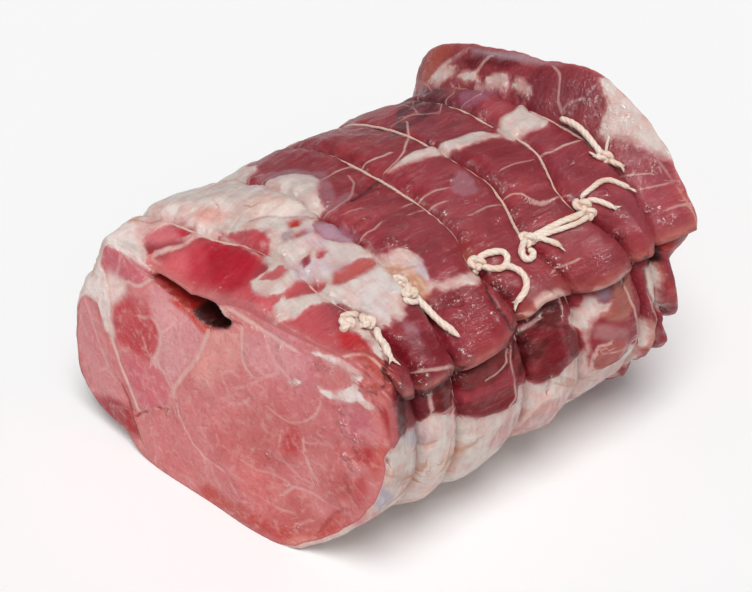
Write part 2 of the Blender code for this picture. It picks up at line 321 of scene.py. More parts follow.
def on_near_face(pixels):
    """Pixels carried onto the near cut face, as places y and heights z."""
    places = []
    for pixel in pixels:
        points, turn, distance = along_ray(pixel)
        share = distance / girth(NEAR_END, turn)
        face = NEAR_END + (near_end(turn) - NEAR_END) * np.minimum(share, LEAN_PAST_RIM)
        face = face - NEAR_DOME * (1.0 - share ** 2)
        at = ((points[:, 0] > face) & (share < PAST_RIM)).argmax()
        places.append(points[at, 1:])
    return np.array(places)


def on_back(places):
    """Places along the roll and degrees round it, as places along it and arcs."""
    places = np.asarray(places, float)
    return np.stack([places[:, 0], arc(places[:, 1])], axis=-1)


# Distances on the flat, in millimetres.
def to_line(points, line, closed=False):
    """The distance of points from a line, and whether they lie on its left."""
    line = np.asarray(line, float)
    ends = np.roll(line, -1, axis=0) if closed else line[1:]
    best = np.full(len(points), 1e9)
    left = np.zeros(len(points))
    for start, stop in zip(line, ends):
        along = stop - start
        offset = points - start
        share = np.clip(offset @ along / max(along @ along, 1e-9), 0.0, 1.0)
        gap = np.hypot(*(offset - share[:, None] * along).T)
        side = np.sign(along[0] * offset[:, 1] - along[1] * offset[:, 0])
        closer = gap < best
        best = np.where(closer, gap, best)
        left = np.where(closer, side, left)
    return best, left


def within(points, outline):
    """The distance of points inside an outline, negative outside it."""
    outline = np.asarray(outline, float)
    inside = np.zeros(len(points), bool)
    for (ax, ay), (bx, by) in zip(outline, np.roll(outline, -1, axis=0)):
        crosses = (points[:, 1] < ay) != (points[:, 1] < by)
        meets = ax + (points[:, 1] - ay) * (bx - ax) / (by - ay if by != ay else 1e-9)
        inside ^= crosses & (points[:, 0] < meets)
    gap, _ = to_line(points, outline, closed=True)
    return np.where(inside, gap, -gap)


def deepest(points, outlines, carry):
    """The distance of points inside the outline that they are deepest in, each carried onto the meat."""
    return np.max([within(points, carry(outline)) for outline in outlines], axis=0)


# What the skin shows, read off the photograph in pixels.
FAT_CAP = (
    (99, 240), (113, 230), (131, 218), (150, 211), (175, 200), (200, 190), (222, 183), (236, 178),
    (250, 185), (270, 178), (290, 174), (313, 174), (321, 180), (318, 190), (321, 200), (326, 207),
    (320, 212), (318, 219), (312, 224), (316, 233), (324, 239), (338, 242), (352, 243), (364, 248),
    (378, 255), (386, 257), (388, 251), (398, 248), (410, 250), (419, 255), (423, 266), (427, 280),
    (440, 281), (456, 275), (470, 271), (478, 277), (476, 284), (462, 285), (448, 288), (440, 291),
    (434, 285), (426, 292), (418, 300), (406, 302), (401, 308), (404, 313), (398, 319), (390, 318),
    (388, 326), (378, 326), (371, 318), (358, 317), (350, 311), (336, 304), (320, 303), (308, 306),
    (298, 315), (288, 319), (277, 322), (271, 313), (273, 305), (279, 299), (284, 292), (276, 295),
    (263, 296), (252, 288), (250, 280), (260, 273), (269, 268), (264, 260), (256, 255), (246, 248),
    (232, 243), (217, 237), (204, 237), (190, 240), (176, 240), (190, 234), (196, 232), (184, 228),
    (172, 223), (160, 222), (150, 225), (142, 232), (138, 240), (146, 248), (148, 257), (140, 260),
    (120, 250))
CAP_WINDOWS = (
    ((259, 278), (266, 272), (274, 270), (281, 264), (287, 268), (282, 275), (272, 280)),
    ((284, 299), (285, 290), (292, 284), (300, 281), (314, 284), (326, 282), (322, 288), (312, 293),
        (298, 296)),
    ((332, 285), (333, 273), (342, 266), (352, 261), (364, 257), (374, 258), (377, 263), (366, 271),
        (352, 278), (340, 284)),
    ((222, 236), (240, 233), (256, 231), (265, 232), (270, 240), (268, 252), (263, 258), (254, 252),
        (240, 245)),
    ((316, 254), (320, 250), (325, 252), (323, 257), (317, 258)),
    ((301, 257), (309, 254), (309, 262), (304, 268)),
    ((288, 222), (294, 218), (302, 219), (298, 226), (290, 227)),
    ((292, 234), (304, 231), (306, 234), (296, 238)))
TOP_STREAK = (
    (497, 128), (500, 118), (508, 113), (516, 110), (522, 106), (530, 112), (540, 116), (550, 121),
    (545, 127), (535, 130), (526, 135), (520, 140), (514, 142), (505, 137), (498, 133))
TOP_TAIL = (
    (500, 133), (490, 132), (480, 130), (470, 131), (460, 135), (450, 140), (440, 144), (425, 149),
    (414, 150), (404, 156), (396, 163), (390, 170), (388, 173), (398, 168), (410, 162), (425, 157),
    (440, 154), (450, 152), (460, 148), (475, 143), (490, 138), (500, 137))
FLAP_EDGE_FAT = (
    (597, 78), (608, 78), (630, 96), (650, 122), (668, 150), (673, 162), (662, 159), (648, 152), (638, 146),
    (625, 140), (614, 138), (606, 141), (598, 133), (601, 124), (603, 114), (606, 104), (605, 95),
    (600, 86))
# The smooth slab on the near top, which was cut too.
SLAB = (
    (99, 241), (112, 243), (125, 230), (133, 222), (168, 222), (200, 233), (232, 243), (258, 256),
    (266, 262), (257, 272), (250, 284), (263, 296), (282, 294), (273, 312), (280, 323), (292, 319),
    (307, 308), (322, 303), (341, 304), (350, 314), (340, 322), (350, 340), (362, 356), (376, 380),
    (390, 400), (386, 408), (340, 376), (290, 352), (240, 320), (190, 296), (140, 270))
FLAP_BLOBS = (
    ((457, 78), (463, 72), (477, 71), (480, 80), (468, 83)),
    ((481, 84), (486, 76), (498, 72), (509, 74), (508, 86), (494, 87)),
    ((511, 84), (516, 77), (523, 79), (531, 88), (529, 95), (522, 91)),
    ((428, 82), (438, 70), (450, 64), (458, 66), (452, 76), (440, 84)))
FLANK_FAT = (
    (399, 446), (403, 438), (412, 430), (424, 423), (436, 414), (447, 415), (453, 412), (457, 418),
    (470, 418), (486, 417), (500, 413), (512, 408), (519, 402), (522, 385), (540, 384), (552, 381),
    (561, 376), (567, 368), (576, 360), (586, 352), (590, 344), (586, 330), (574, 324), (574, 318),
    (586, 308), (590, 298), (600, 297), (606, 304), (612, 304), (618, 300), (614, 312), (604, 316),
    (598, 322), (594, 330), (592, 342), (590, 356), (590, 366), (598, 371), (612, 362), (626, 353),
    (634, 342), (640, 346), (640, 372), (628, 420), (600, 470), (560, 500), (520, 530), (470, 560),
    (420, 580), (350, 590), (320, 570), (325, 541), (345, 535), (352, 515), (362, 505), (376, 484),
    (384, 466), (394, 456))
FAR_FLANK_FAT = (
    ((652, 268), (660, 262), (664, 275), (660, 290), (664, 304), (672, 306), (668, 311), (656, 308),
        (651, 290)),
    ((640, 318), (650, 322), (655, 332), (650, 346), (642, 350), (640, 336)))
FLANK_FAT_WINDOWS = (((590, 362), (596, 347), (612, 342), (629, 341), (630, 352), (612, 364), (597, 369)),)
SKIN_FILMS = (
    ((310, 224), (320, 219), (335, 221), (352, 238), (350, 245), (330, 243), (313, 234)),
    ((322, 256), (330, 248), (346, 248), (356, 262), (340, 274), (322, 270)),
    ((448, 182), (455, 170), (466, 168), (474, 178), (480, 192), (466, 197), (450, 192)),
    ((404, 262), (420, 254), (427, 268), (428, 280), (414, 276)),
    ((308, 170), (326, 168), (336, 190), (340, 212), (324, 214), (314, 192)),
    ((256, 182), (262, 172), (290, 166), (316, 170), (312, 182), (284, 184)),
    ((262, 176), (246, 184), (236, 192), (256, 192), (272, 190)),
    ((396, 324), (404, 332), (420, 336), (418, 326), (402, 316)),
    ((318, 206), (326, 205), (345, 190), (358, 190), (340, 206), (326, 219)),
    ((600, 290), (612, 284), (615, 296), (608, 304), (601, 298)),
    ((470, 52), (540, 56), (560, 64), (500, 60), (470, 58)))
# Lines: width in millimetres, how strongly it shows, and the pixels that it passes.
PALE_LINES = (
    (1.0, 0.8, ((147, 257), (156, 253), (172, 248), (190, 242), (206, 237), (218, 236))),
    (0.5, 0.6, ((386, 172), (392, 164), (398, 158), (404, 150), (409, 140), (408, 128), (407, 120))),
    (0.5, 0.6, ((362, 170), (372, 160), (384, 155), (390, 152))),
    (0.6, 0.7, ((540, 157), (552, 151), (564, 145), (578, 141))),
    (0.4, 0.4, ((500, 170), (516, 163), (532, 159))),
    (0.5, 0.5, ((410, 214), (420, 210), (432, 206), (444, 201))),
    (0.9, 0.55, ((434, 78), (444, 66), (456, 57), (466, 50))),
    (0.7, 0.5, ((476, 74), (482, 64), (490, 56))),
    (0.6, 0.4, ((452, 84), (460, 88), (476, 87), (490, 88))),
    (0.6, 0.6, ((340, 357), (350, 353), (362, 353), (374, 360), (384, 370))),
    (0.5, 0.6, ((505, 197), (512, 193), (522, 193), (530, 197), (538, 202), (548, 200), (560, 197))),
    (1.1, 0.5, ((534, 202), (541, 203), (546, 201))),
    (0.4, 0.45, ((554, 66), (560, 74), (559, 88), (558, 100), (562, 112))),
    (0.4, 0.3, ((562, 112), (566, 104), (574, 100), (582, 98))),
    (0.4, 0.35, ((440, 113), (446, 102), (454, 92), (460, 86))),
    (0.4, 0.35, ((462, 108), (474, 101), (482, 96), (490, 92))),
    (0.4, 0.35, ((400, 116), (418, 113), (438, 112))),
    (0.4, 0.3, ((412, 108), (418, 96), (430, 86), (424, 82))),
    (0.4, 0.3, ((386, 130), (394, 122), (404, 117), (418, 112))),
    (0.4, 0.3, ((390, 110), (402, 104), (412, 106), (418, 112))),
    (0.5, 0.36, ((349, 174), (354, 181), (352, 192), (344, 201), (334, 208), (325, 215))),
    (0.4, 0.5, ((322, 178), (334, 170), (350, 164), (362, 168))),
    (0.5, 0.5, ((360, 240), (366, 232), (374, 228), (380, 222))),
    (0.4, 0.4, ((344, 212), (352, 208), (362, 206))),
    (0.4, 0.4, ((240, 182), (252, 176), (262, 172))),
    (0.4, 0.5, ((254, 188), (262, 180), (272, 174))),
    (0.4, 0.5, ((620, 176), (636, 174), (650, 173))),
    (0.4, 0.4, ((640, 188), (660, 184), (676, 180))),
    (0.5, 0.4, ((664, 208), (676, 204), (686, 203))),
    (0.5, 0.3, ((656, 160), (670, 178), (682, 198), (690, 216), (696, 234))),
    # The fold's bright rim, drawn as a raised pale line that is a painted highlight; the band two lines on,
    # under the fold, is a painted highlight too.
    (1.5, 0.75, ((532, 298), (540, 292), (550, 288), (558, 289), (563, 296), (565, 306))),
    (0.6, 0.5, ((520, 308), (532, 304), (542, 302))),
    (0.9, 0.6, ((519, 333), (528, 328), (536, 322), (540, 318))),
    # The bright bevel on the top layer's edge here: a painted highlight.
    (0.6, 0.6, ((413, 368), (428, 366), (444, 362), (452, 362))),
    (0.5, 0.5, ((590, 282), (600, 280), (612, 274), (622, 266), (628, 258))),
    (0.5, 0.5, ((548, 270), (562, 264), (575, 258))),
    (0.7, 0.55, ((626, 268), (628, 280), (632, 296), (636, 310), (639, 326), (638, 340), (634, 348),
        (626, 356))),
    (0.6, 0.5, ((652, 268), (652, 290), (654, 306), (658, 320))),
    (0.5, 0.5, ((640, 262), (644, 254), (652, 246))),
    (0.6, 0.6, ((592, 368), (594, 352), (600, 345), (612, 342))),
    (0.5, 0.5, ((600, 352), (616, 350), (630, 344), (636, 338))),
    (0.6, 0.5, ((516, 345), (515, 360), (517, 380), (518, 396), (510, 406))),
    (0.5, 0.45, ((404, 206), (420, 200), (436, 190), (446, 188))),
    (0.5, 0.4, ((470, 214), (486, 206), (500, 204))),
    (0.4, 0.5, ((492, 380), (502, 374), (510, 364), (511, 352))),
    (0.8, 0.6, ((436, 384), (434, 396), (436, 410))),
    (0.7, 0.5, ((450, 412), (456, 406), (458, 398))),
    (0.8, 0.7, ((455, 414), (457, 426), (456, 440), (450, 454), (446, 466), (438, 478), (430, 490),
        (424, 500))),
    (0.7, 0.7, ((555, 380), (556, 390), (552, 398), (544, 402), (532, 414), (520, 428))),
    (0.6, 0.5, ((514, 408), (508, 418), (500, 430), (492, 444))))
# Creases: pressed in as grooves, and drawn dark over the meat as painted shade.
SHADED_CREASES = (
    (0.8, 0.9, ((351, 198), (362, 190), (376, 180))),
    (0.7, 0.9, ((394, 457), (396, 466))),
    (0.7, 0.4, ((252, 221), (262, 217), (284, 216), (300, 215), (316, 217))),
    (0.5, 0.5, ((128, 222), (145, 221), (160, 221), (172, 223), (182, 228))),
    (0.9, 0.9, ((553, 379), (555, 385), (553, 390))),
    (0.8, 0.8, ((512, 322), (508, 334), (514, 344))),
    (0.8, 0.7, ((570, 326), (548, 324), (530, 332), (520, 342))),
    (0.8, 0.7, ((522, 322), (536, 312), (552, 304), (562, 304))),
    (0.8, 0.6, ((642, 252), (636, 262), (630, 272), (629, 284))),
    (0.8, 0.8, ((479, 276), (486, 290), (494, 304), (500, 314), (506, 324))),
    (1.0, 0.8, ((414, 296), (422, 310), (430, 322), (440, 340), (452, 360))),
    (0.9, 0.8, ((370, 332), (376, 340), (379, 348))),
    (0.8, 0.8, ((384, 358), (381, 368), (386, 376))),
    (0.6, 0.7, ((364, 360), (368, 370), (376, 378), (380, 390))),
    (0.9, 0.8, ((456, 364), (440, 376), (420, 386), (402, 393))),
    (0.9, 0.8, ((652, 270), (652, 290), (658, 306), (666, 309))),
    (0.8, 0.7, ((458, 366), (459, 380), (457, 398), (460, 414))),
    (0.9, 0.8, ((519, 344), (519, 362), (521, 382))))
STREAKS_ON_FAT = (
    (0.9, 0.7, ((402, 481), (412, 478), (424, 473), (428, 466))),
    (1.2, 0.8, ((394, 502), (402, 495), (410, 487), (418, 482))),
    (1.6, 0.6, ((446, 470), (452, 460), (460, 452), (476, 446))),
    (0.8, 0.7, ((456, 440), (452, 452), (446, 462))),
    (0.7, 0.5, ((418, 452), (430, 447), (438, 443))),
    (0.7, 0.4, ((384, 478), (400, 477))),
    (0.6, 0.6, ((562, 376), (580, 378), (600, 373), (618, 362), (632, 350))),
    (0.6, 0.5, ((558, 384), (576, 386), (600, 381))),
    (0.7, 0.5, ((414, 266), (400, 270), (390, 268))),
    (0.6, 0.6, ((246, 206), (252, 208), (257, 205))),
    (0.5, 0.5, ((214, 201), (219, 206))),
    (0.6, 0.4, ((596, 322), (606, 330), (618, 326))))
# Glints of juice, where the coat is wetter and bumpier and pale flecks are painted in as highlights: a
# pixel, and how many pixels it reaches.
SPARKLES = (
    (430, 306, 8), (455, 300, 8), (512, 212, 8), (516, 228, 7), (420, 376, 8), (444, 366, 8), (556, 268, 7),
    (443, 213, 7), (452, 222, 9), (462, 236, 9), (488, 179, 8), (440, 300, 10), (447, 294, 7),
    (390, 241, 9), (404, 244, 6), (548, 259, 8), (492, 284, 10), (500, 292, 7), (646, 207, 9),
    (662, 218, 9), (680, 232, 8), (618, 232, 8), (603, 191, 6), (410, 184, 6), (486, 110, 6), (412, 366, 9),
    (392, 378, 9), (432, 394, 6), (520, 332, 9), (540, 318, 7), (462, 350, 9), (356, 226, 6), (366, 218, 6),
    (330, 330, 5), (326, 200, 7), (572, 160, 6), (432, 139, 7), (452, 178, 4))

# Folds that stand out: how high and how rounded they are in millimetres, and their outlines in pixels.
FOLDS = (
    (1.8, 2.4, ((519, 309), (527, 301), (535, 292), (546, 286), (557, 289), (563, 297), (567, 308),
        (560, 316), (546, 318), (532, 322), (522, 320))),
    (1.0, 2.0, ((488, 312), (500, 306), (508, 312), (504, 326), (492, 330))),
    (0.9, 2.0, ((404, 356), (420, 352), (444, 350), (450, 358), (436, 368), (416, 374), (402, 370))),
    (1.0, 2.0, ((384, 356), (394, 360), (400, 376), (394, 388), (384, 378))),
    (0.8, 2.0, ((600, 282), (614, 276), (622, 284), (620, 300), (608, 304), (600, 296))),
    (0.9, 2.0, ((590, 352), (604, 342), (628, 341), (624, 356), (602, 370))),
    (0.8, 3.0, ((470, 92), (486, 84), (500, 88), (496, 100), (482, 108), (470, 104))))

# What the near cut face shows, also in pixels.
FACE_FAT = (
    ((76, 270), (92, 256), (101, 246), (101, 262), (105, 272), (109, 285), (111, 300), (110, 320),
        (112, 338), (106, 334), (101, 318), (97, 302), (86, 296), (76, 292), (73, 280)),
    ((306, 350), (319, 351), (333, 355), (345, 361), (356, 369), (360, 381), (357, 391), (364, 399),
        (377, 411), (366, 410), (356, 402), (346, 405), (340, 402), (334, 400), (326, 400), (319, 394),
        (315, 388), (324, 391), (334, 393), (343, 389), (351, 385), (350, 377), (342, 369), (331, 362),
        (318, 356)),
    ((346, 362), (354, 358), (362, 355), (368, 356), (360, 360), (354, 366)),
    ((284, 383), (292, 380), (302, 380), (300, 385), (290, 387)))
# A pale strip along the face's top edge, painted in the cut fat's colour: a rim of fat, lit as a painted
# highlight.
FACE_EDGE_FAT_AND_HIGHLIGHT = ((100, 240), (116, 246), (133, 257), (150, 267))
FACE_LINES = (
    (1.1, 0.9, ((108, 322), (111, 340), (116, 352), (121, 368), (126, 382), (131, 396), (137, 411))),
    (0.9, 0.5, ((138, 317), (144, 318), (150, 317), (156, 324), (160, 334), (160, 344), (156, 354),
        (150, 364))),
    (0.6, 0.4, ((160, 334), (166, 330), (172, 324))),
    (0.8, 0.4, ((142, 338), (146, 350), (152, 360), (162, 372), (168, 384))),
    (0.8, 0.7, ((110, 287), (116, 287), (124, 283), (129, 282), (133, 286), (140, 286), (149, 280))),
    (0.8, 0.4, ((120, 256), (119, 266), (116, 272))),
    (0.8, 0.4, ((124, 254), (130, 262), (140, 270), (148, 276))),
    (1.1, 0.6, ((207, 332), (202, 345), (196, 358), (189, 368), (182, 376), (175, 386), (170, 396),
        (167, 410))),
    (0.7, 0.5, ((176, 404), (178, 416), (184, 430), (192, 444), (204, 458), (222, 470))),
    (0.8, 0.5, ((244, 328), (243, 345), (242, 360), (246, 368), (252, 376))),
    (0.8, 0.4, ((268, 336), (272, 352), (276, 366), (286, 376))),
    (0.6, 0.4, ((268, 408), (280, 418), (290, 424), (304, 422), (314, 416), (319, 404))),
    (0.6, 0.3, ((280, 432), (280, 446))),
    (0.7, 0.4, ((302, 440), (304, 450))),
    (0.9, 0.5, ((308, 462), (312, 470), (318, 479))),
    (0.8, 0.4, ((232, 484), (238, 494))),
    (0.8, 0.4, ((284, 494), (296, 486), (312, 492), (322, 498))),
    (1.0, 0.95, ((217, 301), (222, 307), (226, 313), (230, 319))),
    (0.9, 0.7, ((222, 303), (238, 311), (252, 320), (264, 328), (284, 340), (298, 350))),
    (0.8, 0.4, ((84, 296), (90, 312), (95, 330), (102, 352), (108, 366))),
    (0.8, 0.4, ((100, 370), (106, 369), (113, 377))),
    (0.6, 0.4, ((78, 300), (80, 316), (84, 326))),
    (0.8, 0.3, ((236, 388), (248, 386), (262, 378), (276, 374))),
    (0.8, 0.3, ((230, 404), (240, 404), (248, 400))),
    (0.8, 0.3, ((288, 464), (300, 476), (310, 482))),
    (0.8, 0.3, ((268, 500), (280, 508), (292, 512))),
    (0.9, 0.4, ((298, 524), (306, 522), (312, 520))),
    (0.6, 0.3, ((240, 460), (256, 470), (272, 474), (286, 480))))
# Creases on the cut face: pressed in, and drawn dark red as painted shade.
FACE_SHADED_CREASES = (
    (0.7, 0.9, ((136, 416), (141, 413), (146, 412))),
    (0.6, 0.9, ((156, 408), (161, 410), (166, 410))),
    (0.5, 0.7, ((164, 410), (165, 417))),
    (0.6, 0.6, ((288, 426), (294, 427))),
    (0.9, 0.7, ((346, 478), (350, 488), (354, 498), (358, 504))),
    (0.9, 0.7, ((342, 510), (334, 514), (328, 522), (322, 530))),
    (1.0, 0.8, ((378, 414), (383, 424), (390, 438))),
    (0.6, 0.6, ((346, 460), (356, 458), (366, 462))),
    (0.6, 0.6, ((236, 320), (243, 323))),
    (0.6, 0.5, ((128, 418), (134, 430), (142, 444))),
    (0.9, 0.8, ((362, 388), (368, 394), (372, 400))),
    (0.7, 0.7, ((370, 372), (374, 380), (371, 388))),
    (0.9, 0.9, ((121, 386), (128, 402), (133, 420), (138, 436))))
OPEN_SEAM = (
    (149, 277), (158, 275), (170, 277), (178, 283), (188, 290), (196, 294), (204, 299), (214, 302),
    (219, 308), (224, 316), (233, 322), (228, 327), (214, 328), (208, 326), (199, 320), (190, 310),
    (180, 303), (170, 295), (160, 286))
# Glints on the cut face, as a pixel and how many pixels it reaches: a wetter, bumpier coat, and pale flecks
# painted in as highlights.
FACE_SPARKLES = (
    (340, 412, 6), (340, 424, 8), (344, 434, 7), (356, 440, 8), (356, 450, 7), (346, 458, 7), (356, 468, 8),
    (350, 474, 6), (334, 494, 6), (294, 384, 6), (318, 366, 6), (330, 372, 7), (282, 346, 6), (268, 456, 5),
    (222, 520, 5), (314, 388, 5), (300, 526, 5))

# The ragged end of the top fat by the first knot, and its torn crumbs.
RAGGED_FAT = (
    ((342, 324), (352, 317), (362, 320), (372, 330), (380, 344), (388, 357), (380, 361), (371, 350),
        (365, 340), (357, 332), (348, 330)),
    ((356, 306), (372, 316), (384, 324), (377, 330), (362, 318)))
CRUMBLED_PLACE = (372, 384)
CRUMBLED_REACH = 7.5
CRUMBS = (((356, 344), (372, 350), (384, 360), (392, 378), (396, 396), (384, 402), (370, 392), (362, 372)),)

# The top layer's free edge from the near rim to the far one.
LIP_EDGE = (
    (372, 352), (386, 378), (400, 394), (420, 387), (438, 376), (454, 364), (470, 360), (490, 349),
    (508, 334), (518, 312), (536, 295), (552, 289), (570, 286), (590, 284), (610, 276), (626, 265),
    (642, 252), (655, 238))

# What the photograph doesn't show, as places along the roll and turns up from the flank's middle.
UNDER_FAT = (
    (-70, -22), (-56, -18), (-40, -20), (-18, -20), (8, -18), (32, -16), (54, -14), (64, -30), (60, -56),
    (40, -70), (20, -92), (-6, -84), (-30, -98), (-52, -88), (-72, -96))
BACK_FAT = (
    ((-90, 138), (-50, 134), (-30, 132), (-14, 136), (-10, 146), (2, 152), (-8, 168), (-34, 176),
        (-50, 196), (-74, 188)),
    ((12, 146), (34, 150), (58, 162), (74, 166), (70, 176), (46, 174), (22, 164), (8, 154)),
    ((20, 196), (44, 190), (62, 200), (76, 212), (56, 222), (30, 214)),
    ((-70, 206), (-44, 210), (-30, 222), (-50, 228), (-72, 224)))
BACK_LINES = (
    ((-40, 150), (-20, 160), (0, 158)),
    ((10, 178), (30, 184), (52, 182)),
    ((-10, 200), (10, 206), (24, 198)),
    ((-30, -112), (0, -108), (30, -114)),
    ((-60, -116), (-40, -122)),
    ((30, -96), (52, -90), (70, -96)))
BACK_LINE_WIDTH = 0.7
BACK_LINE_STRENGTH = 0.6
# The middle of what it shows and how far that reaches both ways, in degrees.
SEEN_TURN = 40.0
SEEN_REACH = 75.0

# Colours by place: a pixel, its reach in millimetres along the roll and round it, and the colour there.
SKIN_TINTS = (
    (300, 330, 8, 22, "#cc6468"), (345, 215, 9, 9, "#a64a4f"), (390, 200, 9, 9, "#8f3f43"), (420, 180, 8, 7,
    "#a4454c"), (450, 220, 8, 8, "#a4545a"), (480, 230, 8, 8, "#9f484c"), (360, 180, 8, 8, "#8c383d"), (520,
    180, 9, 8, "#9a464b"), (540, 210, 8, 8, "#8c4044"), (560, 160, 8, 8, "#92404a"), (480, 150, 7, 6,
    "#8c3a40"), (640, 190, 9, 9, "#9c525c"), (440, 105, 8, 6, "#74424a"), (560, 90, 8, 8, "#92454d"), (590,
    110, 7, 7, "#8c3d44"), (540, 75, 7, 5, "#7e343c"), (670, 215, 8, 8, "#ac585e"), (600, 240, 9, 8,
    "#98484c"), (560, 270, 8, 6, "#964446"), (480, 300, 8, 8, "#8a343a"), (400, 350, 8, 7, "#86343c"), (430,
    345, 8, 7, "#86323c"), (480, 330, 6, 5, "#a4464a"), (540, 310, 7, 5, "#8c4046"), (500, 285, 6, 6,
    "#8f4446"), (255, 185, 5, 4, "#8c5a56"), (370, 150, 8, 6, "#8c3c40"), (470, 260, 5, 8, "#94403f"))
FACE_TINTS = (
    (180, 330, 5, 6, "#d38188"), (98, 352, 3, 5, "#cc8789"), (84, 330, 3, 7, "#c48284"), (102, 392, 4, 6,
    "#be6d70"), (240, 400, 7, 7, "#cd7e7c"), (284, 352, 6, 6, "#d08e96"), (300, 370, 5, 5, "#ca7e88"), (262,
    450, 7, 6, "#b85c5c"), (220, 440, 6, 7, "#cd7c7c"), (208, 366, 3, 8, "#dc9c98"), (320, 440, 7, 7,
    "#bf686a"), (344, 490, 6, 6, "#b8625e"), (300, 520, 8, 6, "#b8625e"), (374, 384, 5, 5, "#c87872"), (180,
    470, 6, 5, "#cf7a78"), (240, 515, 9, 4, "#b05654"), (250, 345, 5, 5, "#d2908e"), (270, 490, 7, 6,
    "#cc7472"))
LEAN_COLOUR = "#93434a"
CUT_COLOUR = "#cb7c7c"
BASE_WEIGHT = 0.35
FAT_COLOUR = "#cdbdb5"
# A deep red for the inside of the open seam, darkened as painted shade.
SHADED_HOLLOW_COLOUR = "#8a1a12"
CUT_FAT_COLOUR = "#eddad4"
RIM_COLOUR = "#bd6c6c"
SKIN_CONTRAST = 1.06
SKIN_VEIL = 0.03
CUT_CONTRAST = 1.15
CUT_VEIL = 0.055
DARKEST = 0.004

